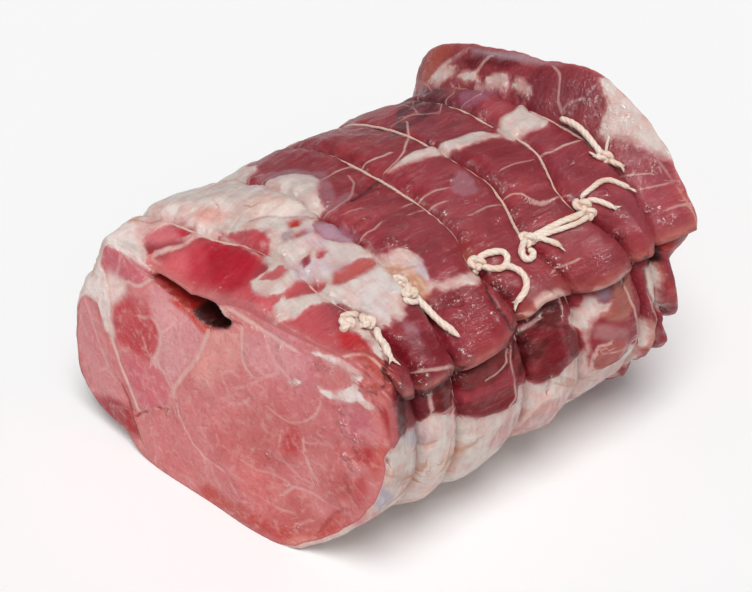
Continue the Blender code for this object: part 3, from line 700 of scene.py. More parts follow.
# Patches painted over those colours: how soft the edge is in millimetres, the colour and the outline.
SKIN_PATCHES = (
    # A pale band along the slab's front edge: fat, lighter where the edge catches the light, as a painted
    # highlight.
    (2.0, "#e3aa9e", ((144, 258), (150, 255), (162, 262), (180, 273), (198, 285), (216, 292), (236, 304),
        (262, 320), (290, 338), (318, 352), (312, 358), (286, 346), (256, 328), (226, 308), (204, 300),
        (184, 290), (164, 277), (150, 268))),
    (7.0, "#d2696e", ((150, 262), (172, 250), (196, 242), (206, 240), (212, 262), (206, 292), (186, 284),
        (166, 274))),
    (6.0, "#bf4650", ((188, 250), (204, 242), (222, 240), (242, 249), (261, 257), (256, 270), (244, 284),
        (228, 294), (204, 290), (188, 276))),
    (4.0, "#b23641", ((204, 246), (222, 243), (242, 250), (259, 258), (252, 270), (240, 283), (226, 288),
        (212, 280))),
    (2.0, "#cb5c64", ((224, 300), (234, 290), (248, 284), (264, 298), (274, 300), (274, 314), (262, 318),
        (242, 312))),
    (3.0, "#d0767c", ((141, 238), (150, 228), (160, 223), (174, 226), (188, 232), (180, 239), (162, 244),
        (148, 243))),
    (3.0, "#bd404a", ((176, 230), (186, 230), (198, 234), (182, 238))),
    (0.7, "#c23c48", ((144, 256), (150, 251), (157, 253), (152, 258))),
    (2.0, "#c0525a", ((220, 236), (240, 233), (262, 232), (276, 238), (274, 252), (258, 253), (240, 246))),
    (0.5, "#3a0808", ((265, 261), (270, 256), (277, 253), (276, 260), (270, 263))),
    (0.8, "#c8686a", ((259, 278), (266, 272), (274, 270), (281, 264), (287, 268), (282, 275), (272, 280))),
    (0.8, "#c05a5e", ((284, 299), (285, 290), (292, 284), (300, 281), (326, 282), (322, 288), (312, 293),
        (298, 296))),
    (1.0, "#c2605c", ((332, 285), (333, 273), (352, 261), (374, 258), (377, 263), (366, 271), (352, 278))),
    (0.6, "#b04050", ((315, 254), (320, 249), (326, 252), (323, 258), (317, 259))),
    (0.6, "#b8453c", ((287, 222), (294, 217), (303, 219), (298, 227), (290, 228))),
    (3.0, "#b8899a", ((312, 224), (324, 221), (342, 228), (356, 240), (350, 244), (338, 241), (322, 238))),
    (1.5, "#bb8790", ((326, 254), (334, 248), (342, 250), (350, 258), (340, 266), (328, 264))),
    (1.2, "#b4683e", ((394, 290), (398, 278), (410, 271), (424, 277), (429, 288), (424, 299), (410, 301),
        (400, 302))),
    (1.2, "#a8635a", ((463, 248), (470, 250), (476, 262), (475, 273), (466, 266))),
    (1.2, "#bb3c40", ((338, 332), (352, 333), (362, 336), (368, 344), (356, 352), (342, 346))),
    # Painted shade: the dark gap behind the first knot's loose end.
    (0.8, "#5e1a18", ((369, 332), (376, 332), (380, 347), (375, 350))),
    (1.5, "#b85650", ((356, 344), (372, 350), (384, 360), (392, 378), (394, 396), (380, 400), (366, 386),
        (360, 366))),
    (1.0, "#7a2a26", ((380, 356), (386, 362), (387, 372), (382, 376), (379, 366))),
    (2.5, "#ab5547", ((424, 60), (432, 47), (444, 43), (456, 46), (446, 58), (437, 72), (431, 86),
        (420, 84))),
    (1.5, "#a88c92", ((462, 45), (500, 50), (540, 57), (562, 65), (540, 63), (518, 59), (496, 55),
        (474, 50))),
    (1.5, "#6e2c34", ((462, 58), (480, 53), (508, 58), (524, 63), (508, 66), (488, 64), (470, 68))),
    (2.0, "#6a3c42", ((396, 108), (418, 92), (438, 87), (452, 90), (440, 104), (428, 114), (410, 124),
        (392, 138))),
    (1.5, "#9a5c6e", ((460, 94), (478, 89), (498, 89), (490, 98), (478, 106), (462, 107))),
    (2.0, "#9f4c54", ((474, 116), (486, 102), (504, 97), (522, 102), (510, 110), (498, 115), (490, 124))),
    (2.0, "#b05c5c", ((676, 176), (684, 190), (692, 210), (698, 234), (689, 232), (680, 210), (672, 190))),
    (1.0, "#b84a42", ((664, 238), (676, 243), (684, 242), (682, 250), (670, 248), (662, 244))),
    # Painted shadow: the dark gap under the flap's edge.
    (1.0, "#42120f", ((650, 238), (660, 242), (668, 250), (664, 262), (654, 266), (649, 252))),
    (1.0, "#a86058", ((654, 268), (664, 262), (668, 276), (660, 288), (654, 290))),
    (1.0, "#a04a4c", ((667, 278), (676, 284), (680, 298), (674, 306), (668, 298))),
    (1.0, "#bd857a", ((640, 322), (652, 318), (660, 328), (658, 340), (644, 348), (639, 338))),
    (1.2, "#a8625c", ((592, 358), (597, 346), (606, 342), (620, 339), (632, 340), (628, 350), (612, 360),
        (600, 370), (592, 370))),
    (2.0, "#a87070", ((598, 324), (612, 324), (632, 330), (628, 338), (612, 341), (597, 337))),
    (1.5, "#a86a60", ((602, 314), (612, 302), (618, 286), (624, 274), (634, 272), (636, 300), (630, 318),
        (614, 322))),
    (0.8, "#806472", ((601, 288), (609, 284), (616, 292), (612, 303), (603, 304))),
    (2.0, "#783236", ((522, 345), (540, 326), (562, 326), (568, 350), (562, 372), (548, 381), (524, 383))),
    (3.0, "#561a1f", ((519, 352), (534, 336), (552, 340), (548, 356), (532, 366), (521, 376))),
    (1.5, "#7a3a3c", ((568, 328), (578, 326), (588, 338), (586, 350), (572, 358), (567, 344))),
    (1.2, "#6c2228", ((526, 322), (540, 306), (556, 302), (566, 308), (564, 322), (546, 324))),
    (2.5, "#5e1a22", ((460, 366), (484, 362), (512, 350), (514, 366), (498, 384), (474, 392), (460, 388))),
    (2.0, "#7f383c", ((462, 400), (490, 396), (516, 384), (518, 400), (504, 410), (484, 416), (464, 415))),
    (1.5, "#6c282e", ((438, 380), (456, 370), (460, 388), (457, 404), (446, 412), (438, 412))),
    (2.0, "#7c3c40", ((402, 396), (418, 388), (436, 382), (436, 412), (424, 422), (404, 432))),
    (1.5, "#562024", ((397, 396), (408, 398), (410, 418), (404, 440), (398, 444))))
FAT_PATCHES = (
    (3.0, "#ecd9d2", ((100, 240), (124, 222), (160, 206), (220, 198), (236, 206), (214, 236), (180, 240),
        (140, 246))),
    (3.0, "#e0a296", ((192, 214), (206, 206), (218, 208), (228, 216), (222, 224), (206, 226), (196, 222))),
    (1.5, "#dca894", ((126, 220), (134, 214), (144, 216), (140, 222), (130, 224))),
    (3.0, "#dfa9a4", ((138, 222), (160, 216), (192, 226), (204, 238), (184, 248), (150, 252), (136, 240))),
    (3.0, "#ead6cb", ((246, 200), (280, 196), (318, 202), (322, 214), (290, 216), (256, 218), (244, 212))),
    (1.2, "#8f858f", ((280, 236), (286, 231), (293, 232), (294, 240), (284, 243))),
    (2.0, "#ccbcc4", ((288, 264), (306, 258), (330, 262), (334, 270), (318, 278), (300, 280), (290, 274))),
    (3.0, "#bda0ab", ((308, 224), (324, 238), (330, 256), (318, 250), (306, 244), (300, 232))),
    (3.0, "#d3c7c4", ((340, 290), (370, 272), (396, 270), (398, 306), (376, 318), (352, 306))),
    (1.5, "#c0b2c0", ((416, 262), (424, 264), (430, 280), (424, 288), (418, 276))),
    (1.5, "#cf9f86", ((384, 262), (400, 264), (412, 272), (400, 276), (386, 272))),
    (1.5, "#bd8560", ((396, 276), (412, 270), (428, 284), (416, 300), (402, 300))),
    # Patches on the flank's fat low down follow; most darken it towards the floor, greyish or pinkish, as
    # painted shade.
    (2.5, "#b3acb6", ((410, 434), (424, 424), (436, 432), (428, 446), (414, 448))),
    (2.0, "#a8a0aa", ((378, 496), (388, 488), (396, 496), (390, 508), (380, 512))),
    (2.5, "#b9988c", ((382, 474), (404, 470), (424, 470), (410, 486), (388, 488), (380, 484))),
    (2.5, "#c28480", ((356, 524), (372, 512), (392, 512), (396, 520), (380, 532), (362, 534))),
    (2.0, "#c9a4a0", ((330, 540), (346, 530), (366, 528), (372, 542), (350, 552), (334, 550))),
    (2.5, "#a9747a", ((500, 452), (530, 436), (566, 428), (590, 408), (604, 420), (560, 450), (520, 470))),
    (2.5, "#c8a08a", ((444, 470), (448, 452), (458, 446), (470, 446), (462, 460), (452, 474))),
    (3.0, "#b98c8a", ((488, 448), (508, 418), (530, 404), (566, 396), (590, 396), (570, 424), (520, 444))),
    (2.5, "#cdb9b2", ((522, 386), (552, 383), (552, 398), (530, 412), (514, 416))),
    (2.5, "#bfa09a", ((562, 378), (596, 376), (626, 360), (640, 350), (634, 380), (600, 404), (568, 396))))
FACE_PATCHES = (
    (2.5, "#cf8688", ((74, 299), (82, 297), (92, 302), (100, 330), (110, 360), (121, 386), (128, 408),
        (134, 432), (120, 420), (104, 405), (88, 388), (82, 350), (74, 322))),
    (3.0, "#a4464a", ((96, 396), (112, 396), (128, 407), (141, 440), (118, 432), (98, 416))),
    (2.0, "#c66a74", ((103, 244), (112, 246), (122, 256), (134, 257), (148, 268), (150, 277), (142, 283),
        (136, 286), (130, 281), (125, 284), (116, 286), (109, 284), (106, 272), (100, 260))),
    (5.0, "#e6cfc8", ((96, 282), (110, 272), (124, 282), (126, 306), (120, 330), (110, 338), (104, 310))),
    (2.5, "#e2b4a8", ((92, 252), (98, 245), (102, 247), (100, 260), (93, 262))),
    (4.0, "#c04c52", ((112, 306), (122, 296), (138, 298), (148, 306), (150, 316), (157, 325), (158, 346),
        (150, 362), (140, 358), (128, 348), (116, 340), (111, 322))),
    (3.0, "#d69799", ((148, 284), (160, 290), (176, 304), (194, 318), (204, 332), (198, 350), (186, 366),
        (170, 384), (160, 372), (152, 362), (158, 348), (160, 334), (154, 322), (148, 308))),
    (3.0, "#cd7078", ((120, 352), (138, 360), (152, 368), (166, 386), (166, 406), (150, 407), (138, 409),
        (128, 392))),
    (4.0, "#da9690", ((210, 332), (240, 330), (244, 350), (236, 372), (218, 384), (196, 388), (192, 374),
        (202, 352))),
    (5.0, "#d29092", ((246, 330), (270, 338), (296, 350), (310, 362), (304, 378), (284, 378), (262, 376),
        (246, 360))),
    (7.0, "#cf8080", ((214, 388), (244, 380), (268, 388), (262, 408), (236, 420), (214, 412))),
    (7.0, "#c4706f", ((222, 422), (256, 406), (284, 404), (288, 428), (268, 454), (238, 464), (210, 452),
        (206, 432))),
    (4.0, "#bd5456", ((284, 430), (296, 428), (302, 440), (298, 454), (286, 456), (282, 444))),
    (4.0, "#c4727a", ((338, 406), (352, 404), (366, 416), (374, 432), (358, 442), (342, 434))),
    (2.5, "#b03c3a", ((377, 414), (386, 406), (396, 402), (399, 420), (397, 440), (391, 448), (384, 434))),
    (2.5, "#b6484a", ((350, 450), (370, 446), (379, 454), (372, 466), (358, 462))),
    (3.0, "#c05a5a", ((352, 480), (366, 474), (370, 490), (360, 506), (355, 496))),
    (3.0, "#c66660", ((372, 446), (388, 448), (384, 462), (376, 480), (370, 470))),
    (4.0, "#bc5a55", ((196, 494), (240, 514), (280, 538), (298, 550), (322, 548), (348, 520), (338, 512),
        (320, 532), (300, 532), (262, 516), (228, 498), (204, 482))),
    (3.0, "#cf8880", ((286, 540), (300, 534), (320, 538), (330, 546), (300, 552))),
    (4.0, "#cf7c7c", ((136, 418), (165, 418), (172, 440), (192, 472), (200, 492), (178, 478), (156, 456))),
    (2.0, "#c04c40", ((200, 324), (207, 327), (212, 329), (208, 334), (203, 334))),
    (2.0, "#c8524a", ((168, 300), (176, 298), (190, 309), (206, 326), (204, 334), (198, 330), (186, 316),
        (174, 308))),
    (3.0, "#bf665e", ((362, 360), (374, 362), (386, 378), (390, 396), (380, 398), (368, 388))))
# Inside the open seam: dark red, and near black at its deep end, painted as shade in the hollow.
HOLLOW_SHADE_PATCHES = (
    (1.5, "#a03020", ((150, 270), (162, 270), (176, 276), (190, 288), (200, 298), (192, 300), (176, 290),
        (160, 282))),
    (1.5, "#2a0505", ((190, 306), (200, 300), (216, 304), (240, 322), (232, 334), (206, 334), (192, 320))))

# The twine: where its knots turn round the roll, their pixels and sizes, and how deep its loops are sunk.
LOOP_DIAMETER = 1.0
LOOP_SINKS = (1.0, 1.4, 0.5, -0.1, 0.3, 0.8)
HIDDEN_SINK = 4.4
KNOT_STRAND = 2.0
STRAND_STEP = 0.7
PLIES = 3.0
KNOT_TURNS = (40.5, 43.0, 40.5, 40.5, 41.5, 52.0)
KNOT_PLACES = (
    ((347, 326, 1.9), (366, 325, 2.0)),
    ((402, 282, 1.9), (406, 293, 1.9)),
    ((478, 264, 2.3),),
    ((529, 240, 2.4),),
    ((583, 206, 2.4), (590, 213, 1.7)),
    ((607, 159, 2.6),))
# Loose ends: diameter, the length of their point in diameters, if they are frayed, and the pixels passed.
TAILS = (
    ((2.2, 0.6, False, ((340, 320), (346, 317), (356, 317), (365, 318), (372, 324))), (2.2, 1.5, True,
        ((372, 321), (375, 326), (380, 342), (386, 354), (391, 362)))),
    ((2.2, 2.5, False, ((404, 284), (412, 290), (424, 303), (436, 316), (448, 328), (459, 338))), (1.8, 0.8,
        True, ((402, 300), (408, 304), (414, 303), (420, 304)))),
    ((2.1, 0.6, False, ((476, 262), (480, 258), (488, 254), (500, 252), (506, 256), (506, 264), (502, 269),
        (494, 270), (486, 268), (480, 264))), (2.1, 1.2, True, ((502, 267), (508, 267), (515, 270),
        (522, 275), (526, 283), (524, 293), (519, 299), (517, 303)))),
    ((2.1, 0.7, False, ((524, 242), (521, 246), (519, 254), (522, 261), (528, 262), (533, 257), (530, 251),
        (526, 252))), (2.2, 0.6, False, ((532, 238), (538, 236), (548, 230), (560, 224), (575, 219),
        (588, 213))), (1.8, 0.6, False, ((534, 241), (548, 234), (562, 229), (576, 225), (586, 219))), (1.8,
        1.0, True, ((536, 238), (541, 240), (552, 243), (560, 247)))),
    ((1.8, 1.0, True, ((580, 199), (584, 194), (590, 190), (600, 183), (607, 181), (616, 184), (628, 190))),
        (1.8, 1.0, True, ((586, 202), (594, 201), (602, 204), (614, 209)))),
    ((2.3, 0.8, False, ((562, 118), (571, 121), (580, 126), (588, 134), (595, 143), (601, 150),
        (605, 157))), (1.9, 1.0, True, ((606, 160), (601, 161), (594, 158))), (1.0, 2.0, True, ((607, 156),
        (607, 148), (608, 142), (610, 136))), (2.0, 1.0, True, ((610, 160), (616, 163), (624, 166)))))

TOP_FATS = (FAT_CAP, TOP_STREAK, TOP_TAIL, FLAP_EDGE_FAT) + FLAP_BLOBS + RAGGED_FAT
FLANK_FATS = (FLANK_FAT,) + FAR_FLANK_FAT
TORN_FATS = RAGGED_FAT + CRUMBS

lip_spots = on_skin(LIP_EDGE)
lip_order = np.argsort(lip_spots[:, 0])
lip_x = lip_spots[lip_order, 0]
lip_degrees = np.interp(lip_spots[lip_order, 1], ARC_LENGTHS, ARC_TURNS)


def lip_turn(x):
    return np.clip(read_softly(x, lip_x, lip_degrees, 1.5), *LIP_LIMITS)


# The meat's mesh.
def square_turns(across, up, lip):
    """The turn of places on the block's square rim, in radians. A line of the mesh follows the lip."""
    below, above = SIDE_TURNS[0], SIDE_TURNS[1]
    share = (up + 1.0) / 2.0
    low = below + (lip - below) * share / LIP_SHARE
    high = lip + (above - lip) * (share - LIP_SHARE) / (1.0 - LIP_SHARE)
    flank = np.where(share < LIP_SHARE, low, high)
    top = above + (SIDE_TURNS[2] - above) * (across + 1.0) / 2.0
    back = SIDE_TURNS[2] + (SIDE_TURNS[3] - SIDE_TURNS[2]) * (1.0 - up) / 2.0
    under = SIDE_TURNS[3] + (SIDE_TURNS[4] - SIDE_TURNS[3]) * (1.0 - across) / 2.0
    sides = [across < -0.99999, up > 0.99999, across > 0.99999, up < -0.99999]
    return np.radians(np.select(sides, [flank, top, back, under], 0.0))


def rows_along(turn):
    """Places of the rows of points along the roll, closer together by the ties and the rims."""
    marks = [near_end(turn)] + [tie_place(i, turn) for i in range(len(TIE_PLACES))] + [far_end(turn)]
    rows = [marks[0]]
    for start, stop, count in zip(marks, marks[1:], STRETCH_ROWS):
        scale = np.minimum(1.0, ROW_STEPS_REACH * (stop - start) / ROW_STEPS[-1])
        rows += [start + step * scale for step in ROW_STEPS[1:]]
        first, last = start + ROW_STEPS[-1] * scale, stop - ROW_STEPS[-1] * scale
        rows += [first + (last - first) * k / count for k in range(1, count)]
        rows += [stop - step * scale for step in reversed(ROW_STEPS)]
    return np.stack(rows)


def ruled_block(cells_along, cells_across):
    """A cube of edge 2 whose faces are ruled in cells."""
    block = bmesh.new()
    bmesh.ops.create_cube(block, size=2.0)
    lengthwise = [e for e in block.edges if abs(e.verts[0].co.x - e.verts[1].co.x) > 1.0]
    bmesh.ops.subdivide_edges(block, edges=lengthwise, cuts=cells_along - 1, use_grid_fill=True)
    crosswise = [e for e in block.edges if abs(e.verts[0].co.x - e.verts[1].co.x) < 1e-6]
    bmesh.ops.subdivide_edges(block, edges=crosswise, cuts=cells_across - 1, use_grid_fill=True)
    return block


def placed(points):
    return (np.asarray(points) - CENTRE_SHIFT) * MM


def grainy(points, size, seed):
    """Smooth noise from -1 to 1 at each point, with a grain of a size in millimetres, or of three sizes."""
    spots = points / np.asarray(size, float) + seed * 17.3
    return np.array([noise.noise(spot) for spot in spots])


def lumpy(places):
    """How high the meat's lumps and its bundles of fibres stand, which the twine follows too."""
    return 0.8 * grainy(places, 15.0, 4) + 0.45 * grainy(places, (34.0, 4.6, 4.6), 2)


def line_marks(spots, lines, carry):
    """The nearest line of each place: its distance in line widths, also with its side, and how it shows."""
    near = np.full(len(spots), NO_MARK)
    side = np.full(len(spots), NO_MARK)
    shown = np.zeros(len(spots))
    for width, strength, pixels in lines:
        gap, left = to_line(spots, carry(pixels))
        closer = gap / width < near
        near = np.where(closer, gap / width, near)
        side = np.where(closer, left * gap / width, side)
        shown = np.where(closer, strength, shown)
    return {"side": np.clip(side, -NO_MARK, NO_MARK), "near": np.minimum(near, NO_MARK), "shown": shown}


def line_relief(marks):
    """How strongly a line's ridge or groove is pressed at each place."""
    return marks["shown"] * np.exp(-(marks["near"] / 1.6) ** 2)


def sparkle(spots, places, carry):
    """1 in the middle of a glint, 0 at its edge and less outside."""
    gaps = [np.hypot(*(spots - carry([(px, py)])[0]).T) * PIXELS_IN_MM / reach for px, py, reach in places]
    return np.max([1.0 - gap for gap in gaps], axis=0)


def skin_marks(x, turn, spots):
    """What the skin shows at each place, as distances in millimetres."""
    places = on_roll(x, turn, girth(x, turn))
    unseen = smooth((np.abs(signed_degrees(turn) - SEEN_TURN) - SEEN_REACH) / 25.0)
    stray = [7.0 * grainy(places, 19.0, seed) + 3.0 * grainy(places, 6.0, seed + 2) for seed in (21, 22)]
    strayed = spots + np.stack(stray, axis=-1) * unseen[:, None]
    cap = np.maximum(deepest(spots, TOP_FATS, on_skin), deepest(strayed, BACK_FAT, on_back))
    cap = np.minimum(cap, -deepest(spots, CAP_WINDOWS, on_skin))
    flank = np.maximum(deepest(spots, FLANK_FATS, on_skin), within(strayed, on_back(UNDER_FAT)))
    flank = np.minimum(flank, -deepest(spots, FLANK_FAT_WINDOWS, on_skin))
    seen = tuple((width, strength, on_skin(line)) for width, strength, line in PALE_LINES)
    hidden = tuple((BACK_LINE_WIDTH, BACK_LINE_STRENGTH, on_back(line)) for line in BACK_LINES)
    return {"cap": cap, "flank": flank, "fat": np.maximum(cap, flank),
            "film": deepest(spots, SKIN_FILMS, on_skin),
            "pale": line_marks(spots, seen + hidden, np.asarray),
            "crease": line_marks(spots, SHADED_CREASES, on_skin),
            "streak": line_marks(spots, STREAKS_ON_FAT, on_skin),
            "gleam": sparkle(spots, SPARKLES, on_skin)}


def face_marks(spots):
    """What the near cut face shows at places y and z."""
    edge_fat_and_highlight = 1.2 - to_line(spots, on_near_face(FACE_EDGE_FAT_AND_HIGHLIGHT))[0]
    return {"fat": np.maximum(deepest(spots, FACE_FAT, on_near_face), edge_fat_and_highlight),
            "pale": line_marks(spots, FACE_LINES, on_near_face),
            "crease": line_marks(spots, FACE_SHADED_CREASES, on_near_face),
            "gleam": sparkle(spots, FACE_SPARKLES, on_near_face),
            "opening": within(spots, on_near_face(OPEN_SEAM))}


def linear(code):
    """An sRGB hex colour as linear red, green and blue."""
    shares = [int(code[i:i + 2], 16) / 255.0 for i in (1, 3, 5)]
    return [c / 12.92 if c <= 0.04045 else ((c + 0.055) / 1.055) ** 2.4 for c in shares]


def paint(colour, spots, patches, carry):
    """Soft-edged patches painted over colours, one after the other."""
    for softness, code, outline in patches:
        share = smooth(within(spots, carry(outline)) / softness + 0.5)[:, None]
        colour = colour * (1.0 - share) + np.array(linear(code)) * share
    return colour


def blend_tints(spots, tints, carry, base):
    """Colours at places, softly mixed from those of the nearest tints."""
    total = np.full(len(spots), BASE_WEIGHT)
    colour = np.outer(total, linear(base))
    for px, py, along, round_it, code in tints:
        offset = (spots - carry([(px, py)])[0]) / [along, round_it]
        weight = np.exp(-(offset ** 2).sum(axis=1))
        total += weight
        colour += np.outer(weight, linear(code))
    return colour / total[:, None]


def under_film(colour, contrast, veil):
    """Colours read off the photograph, without what the film of juice adds to them."""
    return np.maximum(colour * contrast - veil, DARKEST)


def lip_relief(past, above):
    """How far the top layer's free edge stands out, and how far the meat falls back under it."""
    stands = LIP_RISE * np.exp(-np.clip(past, 0.0, None) / 18.0)
    edge = np.where(above, stands, -LIP_TUCK * np.exp(past / 12.0))
    return edge - np.where(above, 1.0 * (1.0 - smooth(past / 1.8)), 0.0)


def lip_slip(past, above):
    """How far the places on both sides of that edge turn towards each other, so that it is sharp."""
    down = -1.6 * np.exp(-np.clip(past, 0.0, None) / 2.0)
    return np.radians(np.where(above, down, 1.4 * np.exp(past / 2.0)))


def skin_relief(radius, spots, plain, away, marks):
    """The radius with puckers by the ties, fibres, lumps, fat, lines, folds and torn fat."""
    pucker = 0.9 * grainy(plain, (9.0, 3.4, 3.4), 1) * np.exp(-((away - 3.0) / 4.0) ** 2)
    fibres = 0.16 * grainy(plain, (14.0, 1.9, 1.9), 3)
    fat_lumps = 0.5 * grainy(plain, (6.0, 3.6, 3.6), 15) * smooth(marks["cap"] / 2.0)
    raised = 0.6 * smooth(marks["cap"] / 1.4 + 0.5) + fat_lumps
    raised -= 1.3 * smooth(marks["flank"] / 2.6 + 0.5)
    raised += 0.5 * line_relief(marks["pale"]) - 1.2 * line_relief(marks["crease"])
    for height, rounding, outline in FOLDS:
        raised += height * smooth(within(spots, on_skin(outline)) / rounding + 0.4)
    torn = np.clip(-deepest(spots, TORN_FATS, on_skin), 0.0, None)
    ragged = 1.9 * grainy(plain, 2.6, 5) * np.exp(-(torn / 2.5) ** 2)
    return radius + pucker + fibres + lumpy(plain) + raised + ragged


def cut_near_face(near, points, reach, cut, marks):
    """Gives the near cut face its relief and marks. Returns its places and how open the seam is there."""
    spots = points[near][:, 1:]
    shown = face_marks(spots)
    marks["fat"][near], marks["gleam"][near], marks["film"][near] = shown["fat"], shown["gleam"], -NO_MARK
    for kind in ("pale", "crease"):
        for part in ("side", "near", "shown"):
            marks[kind][part][near] = shown[kind][part]
    marks["streak"]["near"][near] = NO_MARK
    from_crumbs = np.hypot(*(spots - on_near_face([CRUMBLED_PLACE])[0]).T)
    crumbled = np.exp(-(from_crumbs / CRUMBLED_REACH) ** 2)
    out = 0.6 * grainy(points[near], 13.0, 6) + 0.14 * grainy(points[near], 2.6, 7)
    drawn_out = 0.4 * smooth(shown["fat"] / 1.2) - 0.45 * line_relief(shown["pale"])
    out += drawn_out - 0.7 * line_relief(shown["crease"])
    out += crumbled * (2.3 * grainy(points[near], 2.8, 8) + 0.8)
    points[near, 0] -= out * smooth((1.0 - reach[near]) / 0.05)
    points[near, 0] += OPENING_DEPTH * smooth((shown["opening"] + 0.2) / 1.5)
    # The inside of the open seam, which is painted dark as painted shade.
    shaded_hollow = smooth((shown["opening"] + 0.95) / 0.8)
    marks["fat"][near] = np.where(shaded_hollow > 0.5, -3.0, marks["fat"][near])
    cut[near] -= 0.15 * shaded_hollow
    for kind in ("pale", "crease"):
        marks[kind]["shown"][near] *= 1.0 - shaded_hollow
    return spots, shaded_hollow


def cut_far_face(far, points, reach, marks):
    """Gives the far cut face, which the photograph doesn't show, seams of fat and pale branching lines."""
    places = points[far]
    seams = 0.4 + 3.0 * grainy(places, (30.0, 26.0, 26.0), 13)
    marks["fat"][far] = seams - np.abs(14.0 * grainy(places, (30.0, 27.0, 20.0), 9))
    branching = 16.0 * grainy(places, (17.0, 15.0, 12.0), 10)
    pale = marks["pale"]
    pale["side"][far], pale["near"][far] = branching, np.abs(branching)
    pale["shown"][far] = 0.55 * smooth(grainy(places, (24.0, 16.0, 16.0), 14) / 0.3 + 0.3)
    marks["crease"]["near"][far] = NO_MARK
    marks["streak"]["near"][far] = NO_MARK
    marks["film"][far], marks["gleam"][far] = -NO_MARK, -1.0
    points[far, 0] += (0.5 * grainy(places, 9.0, 11)) * smooth((1.0 - reach[far]) / 0.05)


def meat_colours(near, far, skin_spots, from_rims, face_spots, shaded_hollow):
    """The colours of the lean and of the fat at each place."""
    side = ~(near | far)
    tint = blend_tints(skin_spots, SKIN_TINTS, on_skin, LEAN_COLOUR)
    tint = paint(tint, skin_spots, SKIN_PATCHES, on_skin)
    tint[near] = blend_tints(face_spots, FACE_TINTS, on_near_face, CUT_COLOUR)
    tint[near] = paint(tint[near], face_spots, FACE_PATCHES, on_near_face)
    tint[far] = linear(CUT_COLOUR)
    by_rim = 0.8 * smooth(1.0 - (from_rims - 0.6) / 2.2)[side, None]
    tint[side] = tint[side] * (1.0 - by_rim) + np.array(linear(RIM_COLOUR)) * by_rim
    tint[side] = under_film(tint[side], SKIN_CONTRAST, SKIN_VEIL)
    tint[~side] = under_film(tint[~side], CUT_CONTRAST, CUT_VEIL)
    # The inside of the open seam is painted dark red to near black: painted shade in the hollow.
    shaded_inner = np.tile(linear(SHADED_HOLLOW_COLOUR), (len(face_spots), 1))
    shaded_inner = paint(shaded_inner, face_spots, HOLLOW_SHADE_PATCHES, on_near_face)
    tint[near] = tint[near] * (1.0 - shaded_hollow[:, None]) + shaded_inner * shaded_hollow[:, None]
    fat_tint = np.tile(linear(FAT_COLOUR), (len(tint), 1))
    fat_tint[near] = linear(CUT_FAT_COLOUR)
    fat_tint[side] = paint(fat_tint[side], skin_spots[side], FAT_PATCHES, on_skin)
    return {"tint": tint, "fat_tint": fat_tint}


def new_piece(name, mesh):
    data = bpy.data.meshes.new(name)
    mesh.to_mesh(data)
    mesh.free()
    piece = bpy.data.objects.new(name, data)
    bpy.context.scene.collection.objects.link(piece)
    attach(piece, "root")
    return piece


